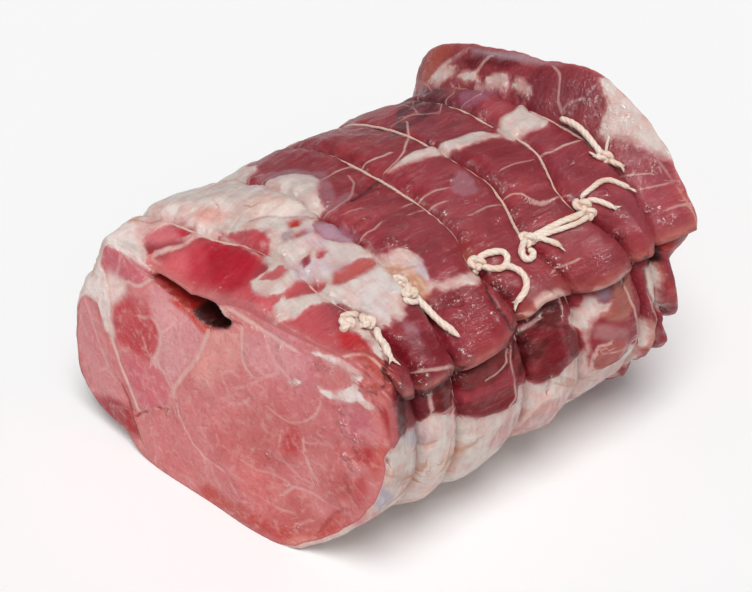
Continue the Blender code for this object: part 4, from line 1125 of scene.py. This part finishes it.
def make_meat():
    """A ruled block bent round the roll, with the relief of what it shows and its material's attributes."""
    rows = len(rows_along(np.zeros(1)))
    mesh = ruled_block(rows - 1, CELLS_ACROSS)
    verts = list(mesh.verts)
    block = np.array([v.co[:] for v in verts])
    reach = np.maximum(np.abs(block[:, 1]), np.abs(block[:, 2]))
    across, up = block[:, 1] / np.maximum(reach, 1e-6), block[:, 2] / np.maximum(reach, 1e-6)
    row = np.round((block[:, 0] + 1.0) / 2.0 * (rows - 1)).astype(int)
    lip = np.full(len(verts), FIRST_LIP_TURN)
    for _ in range(3):
        turn = square_turns(across, up, lip)
        x = rows_along(turn)[row, np.arange(len(verts))]
        lip = lip_turn(x)
    inside = reach < 0.9999
    near, far = inside & (block[:, 0] < 0.0), inside & (block[:, 0] > 0.0)
    side = ~inside

    skin_spots = np.stack([x, arc(np.degrees(turn))], axis=-1)
    marks = skin_marks(x, turn, skin_spots)
    past = signed_degrees(turn) - lip
    above = past > -0.02
    along_lip = smooth((x - LIP_START) / LIP_RUN_IN) * side
    away = from_nearest_tie(x, turn)
    girths = girth(x, turn)
    plain = on_roll(x, turn, girths)
    # More glints beside the ties, where pale flecks are painted in as highlights too.
    beside_tie = 0.5 * np.exp(-((away - 2.8) / 2.0) ** 2) * grainy(plain, 5.0, 12)
    marks["gleam"] = np.maximum(marks["gleam"], beside_tie)
    radius = girths + swell(x, turn) + lip_relief(past, above) * along_lip
    radius = skin_relief(radius, skin_spots, plain, away, marks)
    from_near, from_far = x - near_end(turn), far_end(turn) - x
    for distance in (from_near, from_far):
        gone = RIM_ROUNDING - np.clip(distance, 0.0, RIM_ROUNDING)
        radius -= RIM_ROUNDING - np.sqrt(np.maximum(RIM_ROUNDING ** 2 - gone ** 2, 0.0))
    points = on_roll(x, turn + lip_slip(past, above) * along_lip, radius)

    # The cut faces, drawn in from their rims. The slab and the rims count as cut too, but not as grained.
    cut = np.zeros(len(verts))
    middle = np.array([0.0, 0.0, AXIS_HEIGHT - FACE_CENTRE_DROP])
    for face, centre_x, dome in ((near, NEAR_END, -NEAR_DOME), (far, FAR_END - FAR_CENTRE_INSET, FAR_DOME)):
        share = reach[face][:, None]
        flat = (middle + [centre_x, 0.0, 0.0]) * (1.0 - share) + points[face] * share
        flat[:, 0] += dome * (1.0 - share[:, 0] ** 2)
        points[face] = flat
        cut[face] = 1.0
    face_spots, shaded_hollow = cut_near_face(near, points, reach, cut, marks)
    cut_far_face(far, points, reach, marks)
    slab = within(skin_spots, on_skin(SLAB))
    cut[side] = 0.85 * smooth((slab[side] + 1.5) / 3.0)
    cut[side & (from_near < 0.9)] = 0.8

    points = np.clip(placed(points), np.array(cad_box[0]), np.array(cad_box[1]))
    for vert, point in zip(verts, points):
        vert.co = point
    for face in mesh.faces:
        face.smooth = True
    piece = new_piece("meat_cut", mesh)
    colours = meat_colours(near, far, skin_spots, np.minimum(from_near, from_far), face_spots, shaded_hollow)
    for name, shades in colours.items():
        layer = piece.data.attributes.new(name, "FLOAT_COLOR", "POINT")
        layer.data.foreach_set("color", np.hstack([shades, np.ones((len(shades), 1))]).ravel())
    # The top layer's edge gets a lighter rim painted as a highlight, and the meat just under it is painted
    # darker as painted shade.
    measures = {"fat": marks["fat"], "film": marks["film"], "gleam": marks["gleam"], "cut": cut,
                "lip": np.exp(-(past / 1.8) ** 2) * above * along_lip,
                "shade_under_lip": np.exp(np.minimum(past, 0.0) / 3.5) * ~above * along_lip}
    for kind in ("pale", "crease", "streak"):
        for part in ("side", "near", "shown"):
            measures[kind + "_" + part] = marks[kind][part]
    for name, values in measures.items():
        piece.data.attributes.new(name, "FLOAT", "POINT").data.foreach_set("value", values)
    return piece


# The twine's meshes.
def drawn(pixels):
    """A smooth line through pixels, by cutting its corners."""
    line = np.array(pixels, float)
    for _ in range(3):
        first, last = line[:1], line[-1:]
        quarter = line[:-1] * 0.75 + line[1:] * 0.25
        three = line[:-1] * 0.25 + line[1:] * 0.75
        line = np.concatenate([first, np.stack([quarter, three], axis=1).reshape(-1, 2), last])
    return line


def lengths_along(path):
    return np.concatenate([[0.0], np.cumsum(np.linalg.norm(np.diff(path, axis=0), axis=1))])


def evenly(path, step):
    """A path's points shared evenly along it."""
    lengths = lengths_along(path)
    count = max(4, int(lengths[-1] / step))
    at = np.linspace(0.0, lengths[-1], count + 1)
    return np.stack([np.interp(at, lengths, path[:, k]) for k in range(3)], axis=-1)


def softened(path, times):
    for _ in range(times):
        path[1:-1] = path[1:-1] * 0.5 + (path[:-2] + path[2:]) * 0.25
    return path


def seen_on(tree, pixel, lift):
    """The spot of the meat under a pixel, lifted off it, in millimetres before the roll is centred."""
    hit, normal, _, _ = tree.ray_cast(Vector(placed(CAMERA_PLACE)), Vector(ray(pixel)))
    if hit is None:
        return None
    return np.array(hit) / MM + CENTRE_SHIFT + np.array(normal) * lift


def laid(tree, pixels, lift):
    spots = [seen_on(tree, pixel, lift) for pixel in drawn(pixels)]
    path = np.array([spot for spot in spots if spot is not None])
    return softened(evenly(path, STRAND_STEP), 4)


def add_strand(mesh, path, diameter, sides, lobe, twist, point, soaked):
    """A twisted cord along a path: a cylinder bent on it, with its plies as lobes. Twist is in radians for
    each millimetre, point is how long its ends taper in diameters, and soaked is its share of juice."""
    ply = mesh.verts.layers.float.get("ply") or mesh.verts.layers.float.new("ply")
    juice = mesh.verts.layers.float.get("juice") or mesh.verts.layers.float.new("juice")
    start = len(mesh.verts)
    rings = len(path) - 1
    bmesh.ops.create_cone(mesh, cap_ends=True, segments=sides, radius1=1.0, radius2=1.0, depth=2.0)
    mesh.verts.ensure_lookup_table()
    fresh = set(mesh.verts[start:])
    lengthwise = [e for e in mesh.edges
                  if e.verts[0] in fresh and abs(e.verts[0].co.z - e.verts[1].co.z) > 1.0]
    bmesh.ops.subdivide_edges(mesh, edges=lengthwise, cuts=rings - 1)
    mesh.verts.ensure_lookup_table()

    along = np.gradient(path, axis=0)
    along /= np.linalg.norm(along, axis=1)[:, None]
    lean = np.cross(along[0], [0.3, 0.2, 0.93])
    leans = []
    for way in along:
        lean = lean - way * (lean @ way)
        lean = lean / np.linalg.norm(lean)
        leans.append(lean)
    leans = np.array(leans)
    others = np.cross(along, leans)
    lengths = lengths_along(path)
    for vert in mesh.verts[start:]:
        k = int(round((vert.co.z + 1.0) / 2.0 * rings))
        angle = math.atan2(vert.co.y, vert.co.x)
        phase = math.cos(PLIES * (angle - twist * lengths[k]))
        from_end = min(lengths[k], lengths[-1] - lengths[k]) / diameter
        taper = math.sqrt(max(0.04, 1.0 - (1.0 - min(1.0, from_end / point)) ** 2)) if point else 1.0
        uneven = 1.0 + 0.16 * noise.noise(Vector(path[k] / 2.6)) if point else 1.0
        radius = diameter / 2.0 * (1.0 + lobe * phase) * taper * uneven
        offset = leans[k] * math.cos(angle) + others[k] * math.sin(angle)
        vert.co = placed(path[k] + offset * radius)
        vert[ply] = phase
        vert[juice] = soaked


def add_fray(mesh, path, diameter, seed):
    """Loose threads that fan out of a cut end."""
    way = path[-1] - path[-4]
    way /= np.linalg.norm(way)
    side = np.cross(way, [0.0, 0.0, 1.0])
    side /= np.linalg.norm(side)
    for k, spread in enumerate((-0.9, -0.45, 0.0, 0.4, 0.85)):
        length = diameter * (1.1 + 0.5 * math.sin(7.0 * k + 3.0 * seed))
        share = np.linspace(0.0, 1.0, 9)[:, None]
        bend = side * (0.25 + spread * share) * share * length * 0.6
        lift = np.array([0.0, 0.0, 0.25 * math.cos(5.0 * k + seed)]) * share ** 2 * length
        start = path[-3] + side * spread * diameter * 0.25
        thread = start + way * share * (length + diameter * 0.4) + bend + lift
        add_strand(mesh, thread, 0.6, 6, 0.0, 1.0, 3.0, 0.0)


def loop_path(i):
    """The tight loop of tie i, sunk between the bulges and pressed flat under the roll."""
    turn = np.radians(np.linspace(KNOT_TURNS[i], KNOT_TURNS[i] + 360.0, 460))
    x = tie_place(i, turn)
    degrees = signed_degrees(turn)
    flank = smooth((KNOT_TURNS[i] - 3.0 - degrees) / 5.0) * smooth((degrees + 100.0) / 20.0)
    girths = girth(x, turn)
    dents = swell(x, turn) + GROOVE_DEPTH * (1.0 - 0.5 * tightness(np.sin(turn)))
    dents += lumpy(on_roll(x, turn, girths))
    radius = girths + dents - LOOP_SINKS[i] * (1.0 - flank) - HIDDEN_SINK * flank
    height = np.maximum(settled(AXIS_HEIGHT + radius * np.sin(turn)), LOOP_DIAMETER / 2.0 + 0.1)
    return evenly(np.stack([x, -radius * np.cos(turn), height], axis=-1), 0.8)


def knot_path(centre, normal, size, spin):
    """An overhand knot pulled tight: a cord crossing itself three times."""
    t = np.linspace(0.0, 2.0 * math.pi, 60) + spin
    flat = np.stack([np.sin(t) + 2.0 * np.sin(2.0 * t), np.cos(t) - 2.0 * np.cos(2.0 * t),
                     -1.3 * np.sin(3.0 * t)], -1)
    side = np.cross(normal, [0.2, 0.9, 0.1])
    side /= np.linalg.norm(side)
    other = np.cross(normal, side)
    return centre + (flat[:, :1] * side + flat[:, 1:2] * other + flat[:, 2:] * normal) * size / 3.0


def make_twine(i, tree, material):
    """Tie i: its loop, its knots and its loose ends."""
    mesh = bmesh.new()
    add_strand(mesh, loop_path(i), LOOP_DIAMETER, 12, 0.08, 1.6, 0.0, 1.0)
    for j, (px, py, size) in enumerate(KNOT_PLACES[i]):
        spot = seen_on(tree, (px, py), 0.0)
        normal = seen_on(tree, (px, py), 1.0) - spot
        path = knot_path(spot + normal * (KNOT_STRAND * 0.75), normal, size, 0.7 * i + j)
        add_strand(mesh, evenly(path, 0.45), KNOT_STRAND, 14, 0.05, 1.0, 0.6, 0.15)
    for j, (diameter, point, frayed, pixels) in enumerate(TAILS[i]):
        path = laid(tree, pixels, diameter * 0.5)
        add_strand(mesh, path, diameter, 16, 0.05, 0.9, point, 0.0)
        if frayed:
            add_fray(mesh, path, diameter, i + 3 * j)
    for face in mesh.faces:
        face.smooth = True
    piece = new_piece("twine_" + str(i + 1), mesh)
    piece.data.materials.append(material)
    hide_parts("tie_" + str(i + 1))
    return piece


# The finishes.
def add(tree, kind, *values, inputs=None, output=None, **settings):
    """Adds a node with its settings and gives its named output, or else the first open one. Values go to
    its open sockets in order and inputs to named ones: numbers, hex colours or other nodes' outputs."""
    node = tree.nodes.new("ShaderNode" + kind)
    for name, value in settings.items():
        setattr(node, name, value)
    pairs = list(zip([socket for socket in node.inputs if socket.enabled], values))
    pairs += [(node.inputs[name], value) for name, value in (inputs or {}).items()]
    for socket, value in pairs:
        if isinstance(value, bpy.types.NodeSocket):
            tree.links.new(value, socket)
        else:
            socket.default_value = (*linear(value), 1.0) if isinstance(value, str) else value
    return node.outputs[output] if output else next((out for out in node.outputs if out.enabled), None)


def layered(tree, base, *layers):
    """Paints layers over a base colour. A layer is its colour, how it is mixed in, and amounts that are
    multiplied. An amount is a number or a node's output, or such an output with the values where it starts
    and stops and, where they aren't 0 and 1, the amounts there."""
    for colour, kind, *amounts in layers:
        shares = [add(tree, "MapRange", *amount, interpolation_type="SMOOTHSTEP")
                  if isinstance(amount, tuple) else amount for amount in amounts]
        factor = shares[0]
        for share in shares[1:]:
            factor = add(tree, "Math", factor, share, operation="MULTIPLY")
        base = add(tree, "Mix", factor, base, colour, data_type="RGBA", blend_type=kind)
    return base


def new_finish(name):
    material = bpy.data.materials.new(name)
    material.use_nodes = True
    material.node_tree.nodes.clear()
    return material, material.node_tree


def per(*millimetres):
    """How many grains of a size in millimetres fit in a metre, for a pattern's scale."""
    return [1.0 / (size * MM) for size in millimetres]


# The patterns of the meat: the grain in millimetres along x, y and z, and how detailed and rough it is.
MEAT_GRAINS = {
    "bundles": ((30.0, 5.0, 5.0), 4.0, 0.5),
    "fibres": ((11.0, 1.2, 1.2), 4.0, 0.6),
    "blotches": ((15.0, 10.0, 10.0), 5.0, 0.55),
    "grain": ((1.5, 1.5, 1.5), 3.0, 0.6),
    "wander": ((3.0, 3.0, 3.0), 5.0, 0.62),
    "clouds": ((8.0, 6.0, 6.0), 5.0, 0.6),
    "flecks": ((1.6, 2.6, 0.9), 3.0, 0.7),
    "strands": ((2.0, 7.0, 7.0), 4.0, 0.6),
    "crispness": ((7.0, 7.0, 7.0), 3.0, 0.5),
    "glints": ((1.1, 1.1, 1.1), 3.0, 0.7)}
FIBRE_ENDS = (9.0, 6.0, 6.0)


def raw_pork():
    """Raw pork: lean cut and untrimmed, wet. Fibres run along the roll and show end on where it was cut.
    Cream fat with rosy edges lies in sheets over it, with thin lilac skin between, and all of it has a film
    of juice that breaks highlights into glints."""
    material, tree = new_finish("raw_pork")
    place = add(tree, "TexCoord", output="Object")
    fat, film, gleam, cut, lip, shade_under_lip = [
        add(tree, "Attribute", output="Fac", attribute_name=name)
        for name in ("fat", "film", "gleam", "cut", "lip", "shade_under_lip")]
    tint, fat_tint = [add(tree, "Attribute", output="Color", attribute_name=name)
                      for name in ("tint", "fat_tint")]
    bundles, fibres, blotches, grain, wander, clouds, flecks, strands, crispness, glints = [
        add(tree, "TexNoise", add(tree, "Mapping", inputs={"Vector": place, "Scale": per(*size)}), 1.0,
            detail, rough) for size, detail, rough in MEAT_GRAINS.values()]
    jitter = add(tree, "Math", add(tree, "Math", wander, -0.5), 2.4, operation="MULTIPLY")

    def line(kind, wobble):
        """A line's amounts. It is thin however wide the mesh's cells are, and broken here and there."""
        side, near, shown = [add(tree, "Attribute", output="Fac", attribute_name=kind + "_" + part)
                             for part in ("side", "near", "shown")]
        wobbling = add(tree, "Math", side, add(tree, "Math", jitter, wobble, operation="MULTIPLY"))
        across = add(tree, "Math", wobbling, operation="ABSOLUTE")
        return (across, 1.3, 0.2), (near, 3.6, 1.8), shown, (clouds, 0.34, 0.5, 0.35, 1.0)

    lean = layered(
        tree, tint,
        ("#b08c90", "MULTIPLY", (bundles, 0.6, 0.36, 0.0, 0.22)),
        ("#b08a8c", "MULTIPLY", (fibres, 0.54, 0.36, 0.0, 0.2)),
        ("#d08a88", "MIX", (fibres, 0.56, 0.76, 0.0, 0.2)),
        ("#b2484c", "MIX", (blotches, 0.5, 0.7, 0.0, 0.35)),
        ("#a88488", "MULTIPLY", (blotches, 0.46, 0.3, 0.0, 0.3)))

    # The cut face shows the fibres end on, as cells with pale walls, but the smooth slab doesn't.
    ends = add(tree, "Mapping", inputs={"Vector": place, "Scale": per(*FIBRE_ENDS)})
    astray = add(tree, "TexNoise", ends, 0.8, 2.0, output="Color")
    ends = add(tree, "VectorMath", ends, astray, operation="ADD")
    walls = add(tree, "TexVoronoi", inputs={"Vector": ends, "Scale": 0.8}, feature="DISTANCE_TO_EDGE")
    cells = add(tree, "TexVoronoi", inputs={"Vector": ends, "Scale": 0.8}, output="Color")
    grained = add(tree, "MapRange", cut, 0.87, 0.97, interpolation_type="SMOOTHSTEP")
    face = layered(
        tree, tint,
        ("#d9988f", "MIX", (blotches, 0.5, 0.72, 0.0, 0.3), grained),
        ("#c87f80", "MULTIPLY", (blotches, 0.46, 0.3, 0.0, 0.24)),
        ("#b4484c", "MIX", (cells, 0.3, 0.9, 0.0, 0.16), grained),
        ("#c8a2a0", "MULTIPLY", (grain, 0.5, 0.34, 0.0, 0.24)),
        ("#e2b2aa", "MIX", (walls, 0.16, 0.0), (wander, 0.4, 0.64, 0.0, 0.27), grained),
        ("#e9c4bc", "MIX", (flecks, 0.58, 0.74, 0.0, 0.42), (clouds, 0.42, 0.62, 0.1, 1.0), grained))
    # Over the lean go the cut faces, then painted shade on the meat just under the top layer's edge, and a
    # lighter warm rim along that edge, painted as a highlight where light shines through it.
    lean = layered(
        tree, lean,
        (face, "MIX", cut),
        ("#8a6a6e", "MULTIPLY", shade_under_lip, 0.5),
        ("#cc7c6c", "MIX", lip, (clouds, 0.35, 0.6, 0.15, 0.6)))

    fat_shade = layered(
        tree, fat_tint,
        ("#cf998f", "MIX", (clouds, 0.44, 0.62, 0.0, 0.6)),
        ("#c09c9e", "MIX", (blotches, 0.56, 0.7, 0.0, 0.36)),
        ("#e6dbd5", "MIX", (strands, 0.42, 0.62, 0.0, 0.3)),
        ("#c0acaf", "MIX", (strands, 0.42, 0.28, 0.0, 0.3)),
        ("#c47a6e", "MIX", (wander, 0.62, 0.78, 0.0, 0.45)),
        ("#b57a5c", "MIX", *line("streak", 0.6)))
    # The fat's edge is crisp in some places and fades into the lean in others.
    fat_reach = add(tree, "Math", fat, jitter)
    faded, crisp = [add(tree, "MapRange", fat_reach, start, stop, interpolation_type="SMOOTHSTEP")
                    for start, stop in ((-1.0, 2.4), (-0.25, 0.7))]
    crispness = add(tree, "MapRange", crispness, 0.42, 0.56, interpolation_type="SMOOTHSTEP")
    # The colour of the painted shade in the creases: near black on the skin, dark red on the cut faces,
    # browner by the fat.
    deep = layered(tree, "#430f12", ("#a83a36", "MIX", cut), ("#94504a", "MIX", crisp))
    # Where the glints are: a wetter, bumpier coat, and pale flecks painted in as highlights.
    wet = add(tree, "MapRange", gleam, 0.0, 0.6, interpolation_type="SMOOTHSTEP")
    shown = layered(
        tree, lean,
        ("#cf8a86", "MIX", (fat_reach, -1.1, 0.5, 0.0, 0.55)),
        (fat_shade, "MIX", add(tree, "Mix", crispness, faded, crisp, data_type="RGBA")),
        ("#b698a4", "MIX", (add(tree, "Math", film, jitter), -0.6, 1.6, 0.0, 0.26)),
        # Pale lines: thin pale skin, and on a few rims and edges painted highlights.
        ("#dfbab0", "MIX", *line("pale", 0.35)),
        (deep, "MIX", *line("crease", 0.35)),
        # Pale flecks painted at the glints: painted highlights.
        ("#f2e2de", "MIX", (glints, 0.57, 0.68, 0.0, 0.8), wet))

    weight = [add(tree, "MapRange", *amount, interpolation_type="SMOOTHSTEP")
              for amount in ((wander, 0.46, 0.62, 0.1, 0.55), (glints, 0.46, 0.58, 0.0, 0.9))]
    weight = add(tree, "Math", weight[0], add(tree, "Math", weight[1], wet, operation="MULTIPLY"))
    height = None
    for bumpy, amount in ((grain, 0.6), (fibres, 0.95), (wander, 0.35),
                          (add(tree, "Math", glints, wet, operation="MULTIPLY"), 3.2)):
        rise = add(tree, "Math", bumpy, amount, operation="MULTIPLY")
        height = add(tree, "Math", height, rise) if height else rise
    bumps = add(tree, "Bump", inputs={"Strength": 0.6, "Distance": 0.0006, "Height": height})
    roughness = add(tree, "MapRange", clouds, 0.3, 0.7, 0.34, 0.5, interpolation_type="SMOOTHSTEP")
    skin = add(tree, "BsdfPrincipled", inputs={
        "Base Color": shown, "Roughness": roughness, "IOR": 1.38, "Specular IOR Level": 0.25,
        "Subsurface Weight": 0.18, "Subsurface Radius": (1.0, 0.35, 0.22), "Subsurface Scale": 0.0025,
        "Coat Weight": weight, "Coat Roughness": 0.1, "Normal": bumps, "Coat Normal": bumps})
    add(tree, "OutputMaterial", inputs={"Surface": skin})
    return material


def cotton_twine():
    """Butcher's twine: three twisted plies of undyed cotton, matt and fuzzy, stained by the juice."""
    material, tree = new_finish("cotton_twine")
    place = add(tree, "TexCoord", output="Object")
    ply, juice = [add(tree, "Attribute", output="Fac", attribute_name=name) for name in ("ply", "juice")]
    fuzz = add(tree, "TexNoise", place, per(0.5)[0], 3.0)
    stain = add(tree, "MapRange", add(tree, "TexNoise", place, per(8.0)[0], 2.0), 0.45, 0.68)
    shade = layered(
        tree, "#f3e2d3",
        ("#e9cdb8", "MIX", stain),
        # Darker between the plies, where the twist dips in: painted shade.
        ("#c9a48c", "MIX", (ply, -1.0, 0.6, 0.4, 0.0)),
        ("#dab7a6", "MIX", juice))
    height = add(tree, "Math", fuzz, ply)
    bumps = add(tree, "Bump", inputs={"Strength": 0.5, "Distance": 0.0002, "Height": height})
    cotton = add(tree, "BsdfPrincipled", inputs={
        "Base Color": shade, "Roughness": 0.85, "IOR": 1.5, "Sheen Weight": 0.3,
        "Subsurface Weight": 0.1, "Subsurface Scale": 0.001, "Normal": bumps})
    add(tree, "OutputMaterial", inputs={"Surface": cotton})
    return material


def matt_board():
    """The white board under the meat: matt plastic, with a faint glow that keeps it near white."""
    material, tree = new_finish("matt_board")
    board = add(tree, "BsdfPrincipled", inputs={
        "Base Color": (0.9, 0.9, 0.9, 1.0), "Roughness": 0.9, "Specular IOR Level": 0.1,
        "Emission Color": (1.0, 1.0, 1.0, 1.0), "Emission Strength": 0.045})
    add(tree, "OutputMaterial", inputs={"Surface": board})
    return material


meat = make_meat()
meat.data.materials.append(raw_pork())
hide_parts("meat")

surface = bmesh.new()
surface.from_mesh(meat.data)
seen = BVHTree.FromBMesh(surface)
surface.free()
cotton = cotton_twine()
for number in range(len(TIE_PLACES)):
    make_twine(number, seen, cotton)

# The floor, the light and the camera.
FLOOR_HALF_WIDTH = 6.0
floor_mesh = bmesh.new()
bmesh.ops.create_grid(floor_mesh, x_segments=1, y_segments=1, size=FLOOR_HALF_WIDTH)
floor_data = bpy.data.meshes.new("board")
floor_mesh.to_mesh(floor_data)
floor_mesh.free()
floor = bpy.data.objects.new("board", floor_data)
floor.data.materials.append(matt_board())
bpy.context.scene.collection.objects.link(floor)

# Far softboxes: the way to each, its strength, its width in degrees, and if it shades or makes glints.
UP = np.array([0.0, 0.0, 1.0])
SOFTBOXES = (
    ("softbox_above", UP * 0.7 + CAMERA_BACK * 0.6, 2.55, 34.0, True, False),
    ("softbox_shine", UP * 0.92 + CAMERA_BACK * 0.25, 0.8, 36.0, False, True),
    ("fill", CAMERA_BACK, 0.3, 50.0, True, False),
    ("glints_right", CAMERA_RIGHT * 0.65 + UP * 0.75, 2.2, 11.0, False, True),
    ("glints_behind", UP * 0.75 - CAMERA_BACK * 0.6, 0.22, 11.0, False, True),
    ("glints_left", CAMERA_RIGHT * -0.7 + CAMERA_BACK * 0.6 + UP * 0.15, 4.0, 25.0, False, True))
for name, towards, strength, spread, shades, glints in SOFTBOXES:
    lamp = bpy.data.lights.new(name, "SUN")
    lamp.energy = strength
    lamp.angle = math.radians(spread)
    sun = bpy.data.objects.new(name, lamp)
    sun.visible_diffuse = shades
    sun.visible_glossy = glints
    sun.rotation_euler = Vector(towards).to_track_quat("Z", "Y").to_euler()
    bpy.context.scene.collection.objects.link(sun)

world = bpy.data.worlds.new("studio")
world.use_nodes = True
world.node_tree.nodes["Background"].inputs["Color"].default_value = (1.0, 1.0, 1.0, 1.0)
world.node_tree.nodes["Background"].inputs["Strength"].default_value = 0.2
bpy.context.scene.world = world
bpy.context.scene.view_settings.view_transform = "Standard"

lens = bpy.data.cameras.new("camera")
lens.sensor_width = SENSOR_WIDTH
lens.lens = CAMERA_FOCAL * SENSOR_WIDTH / PHOTO_SIZE[0]
lens.shift_y = CAMERA_DROP / PHOTO_SIZE[0]
lens.clip_start = 0.01
lens.clip_end = 50.0
camera = bpy.data.objects.new("camera", lens)
axes = Matrix((CAMERA_RIGHT, CAMERA_UP, CAMERA_BACK)).transposed().to_4x4()
camera.matrix_world = Matrix.Translation(placed(CAMERA_PLACE)) @ axes
bpy.context.scene.collection.objects.link(camera)
bpy.context.scene.camera = camera
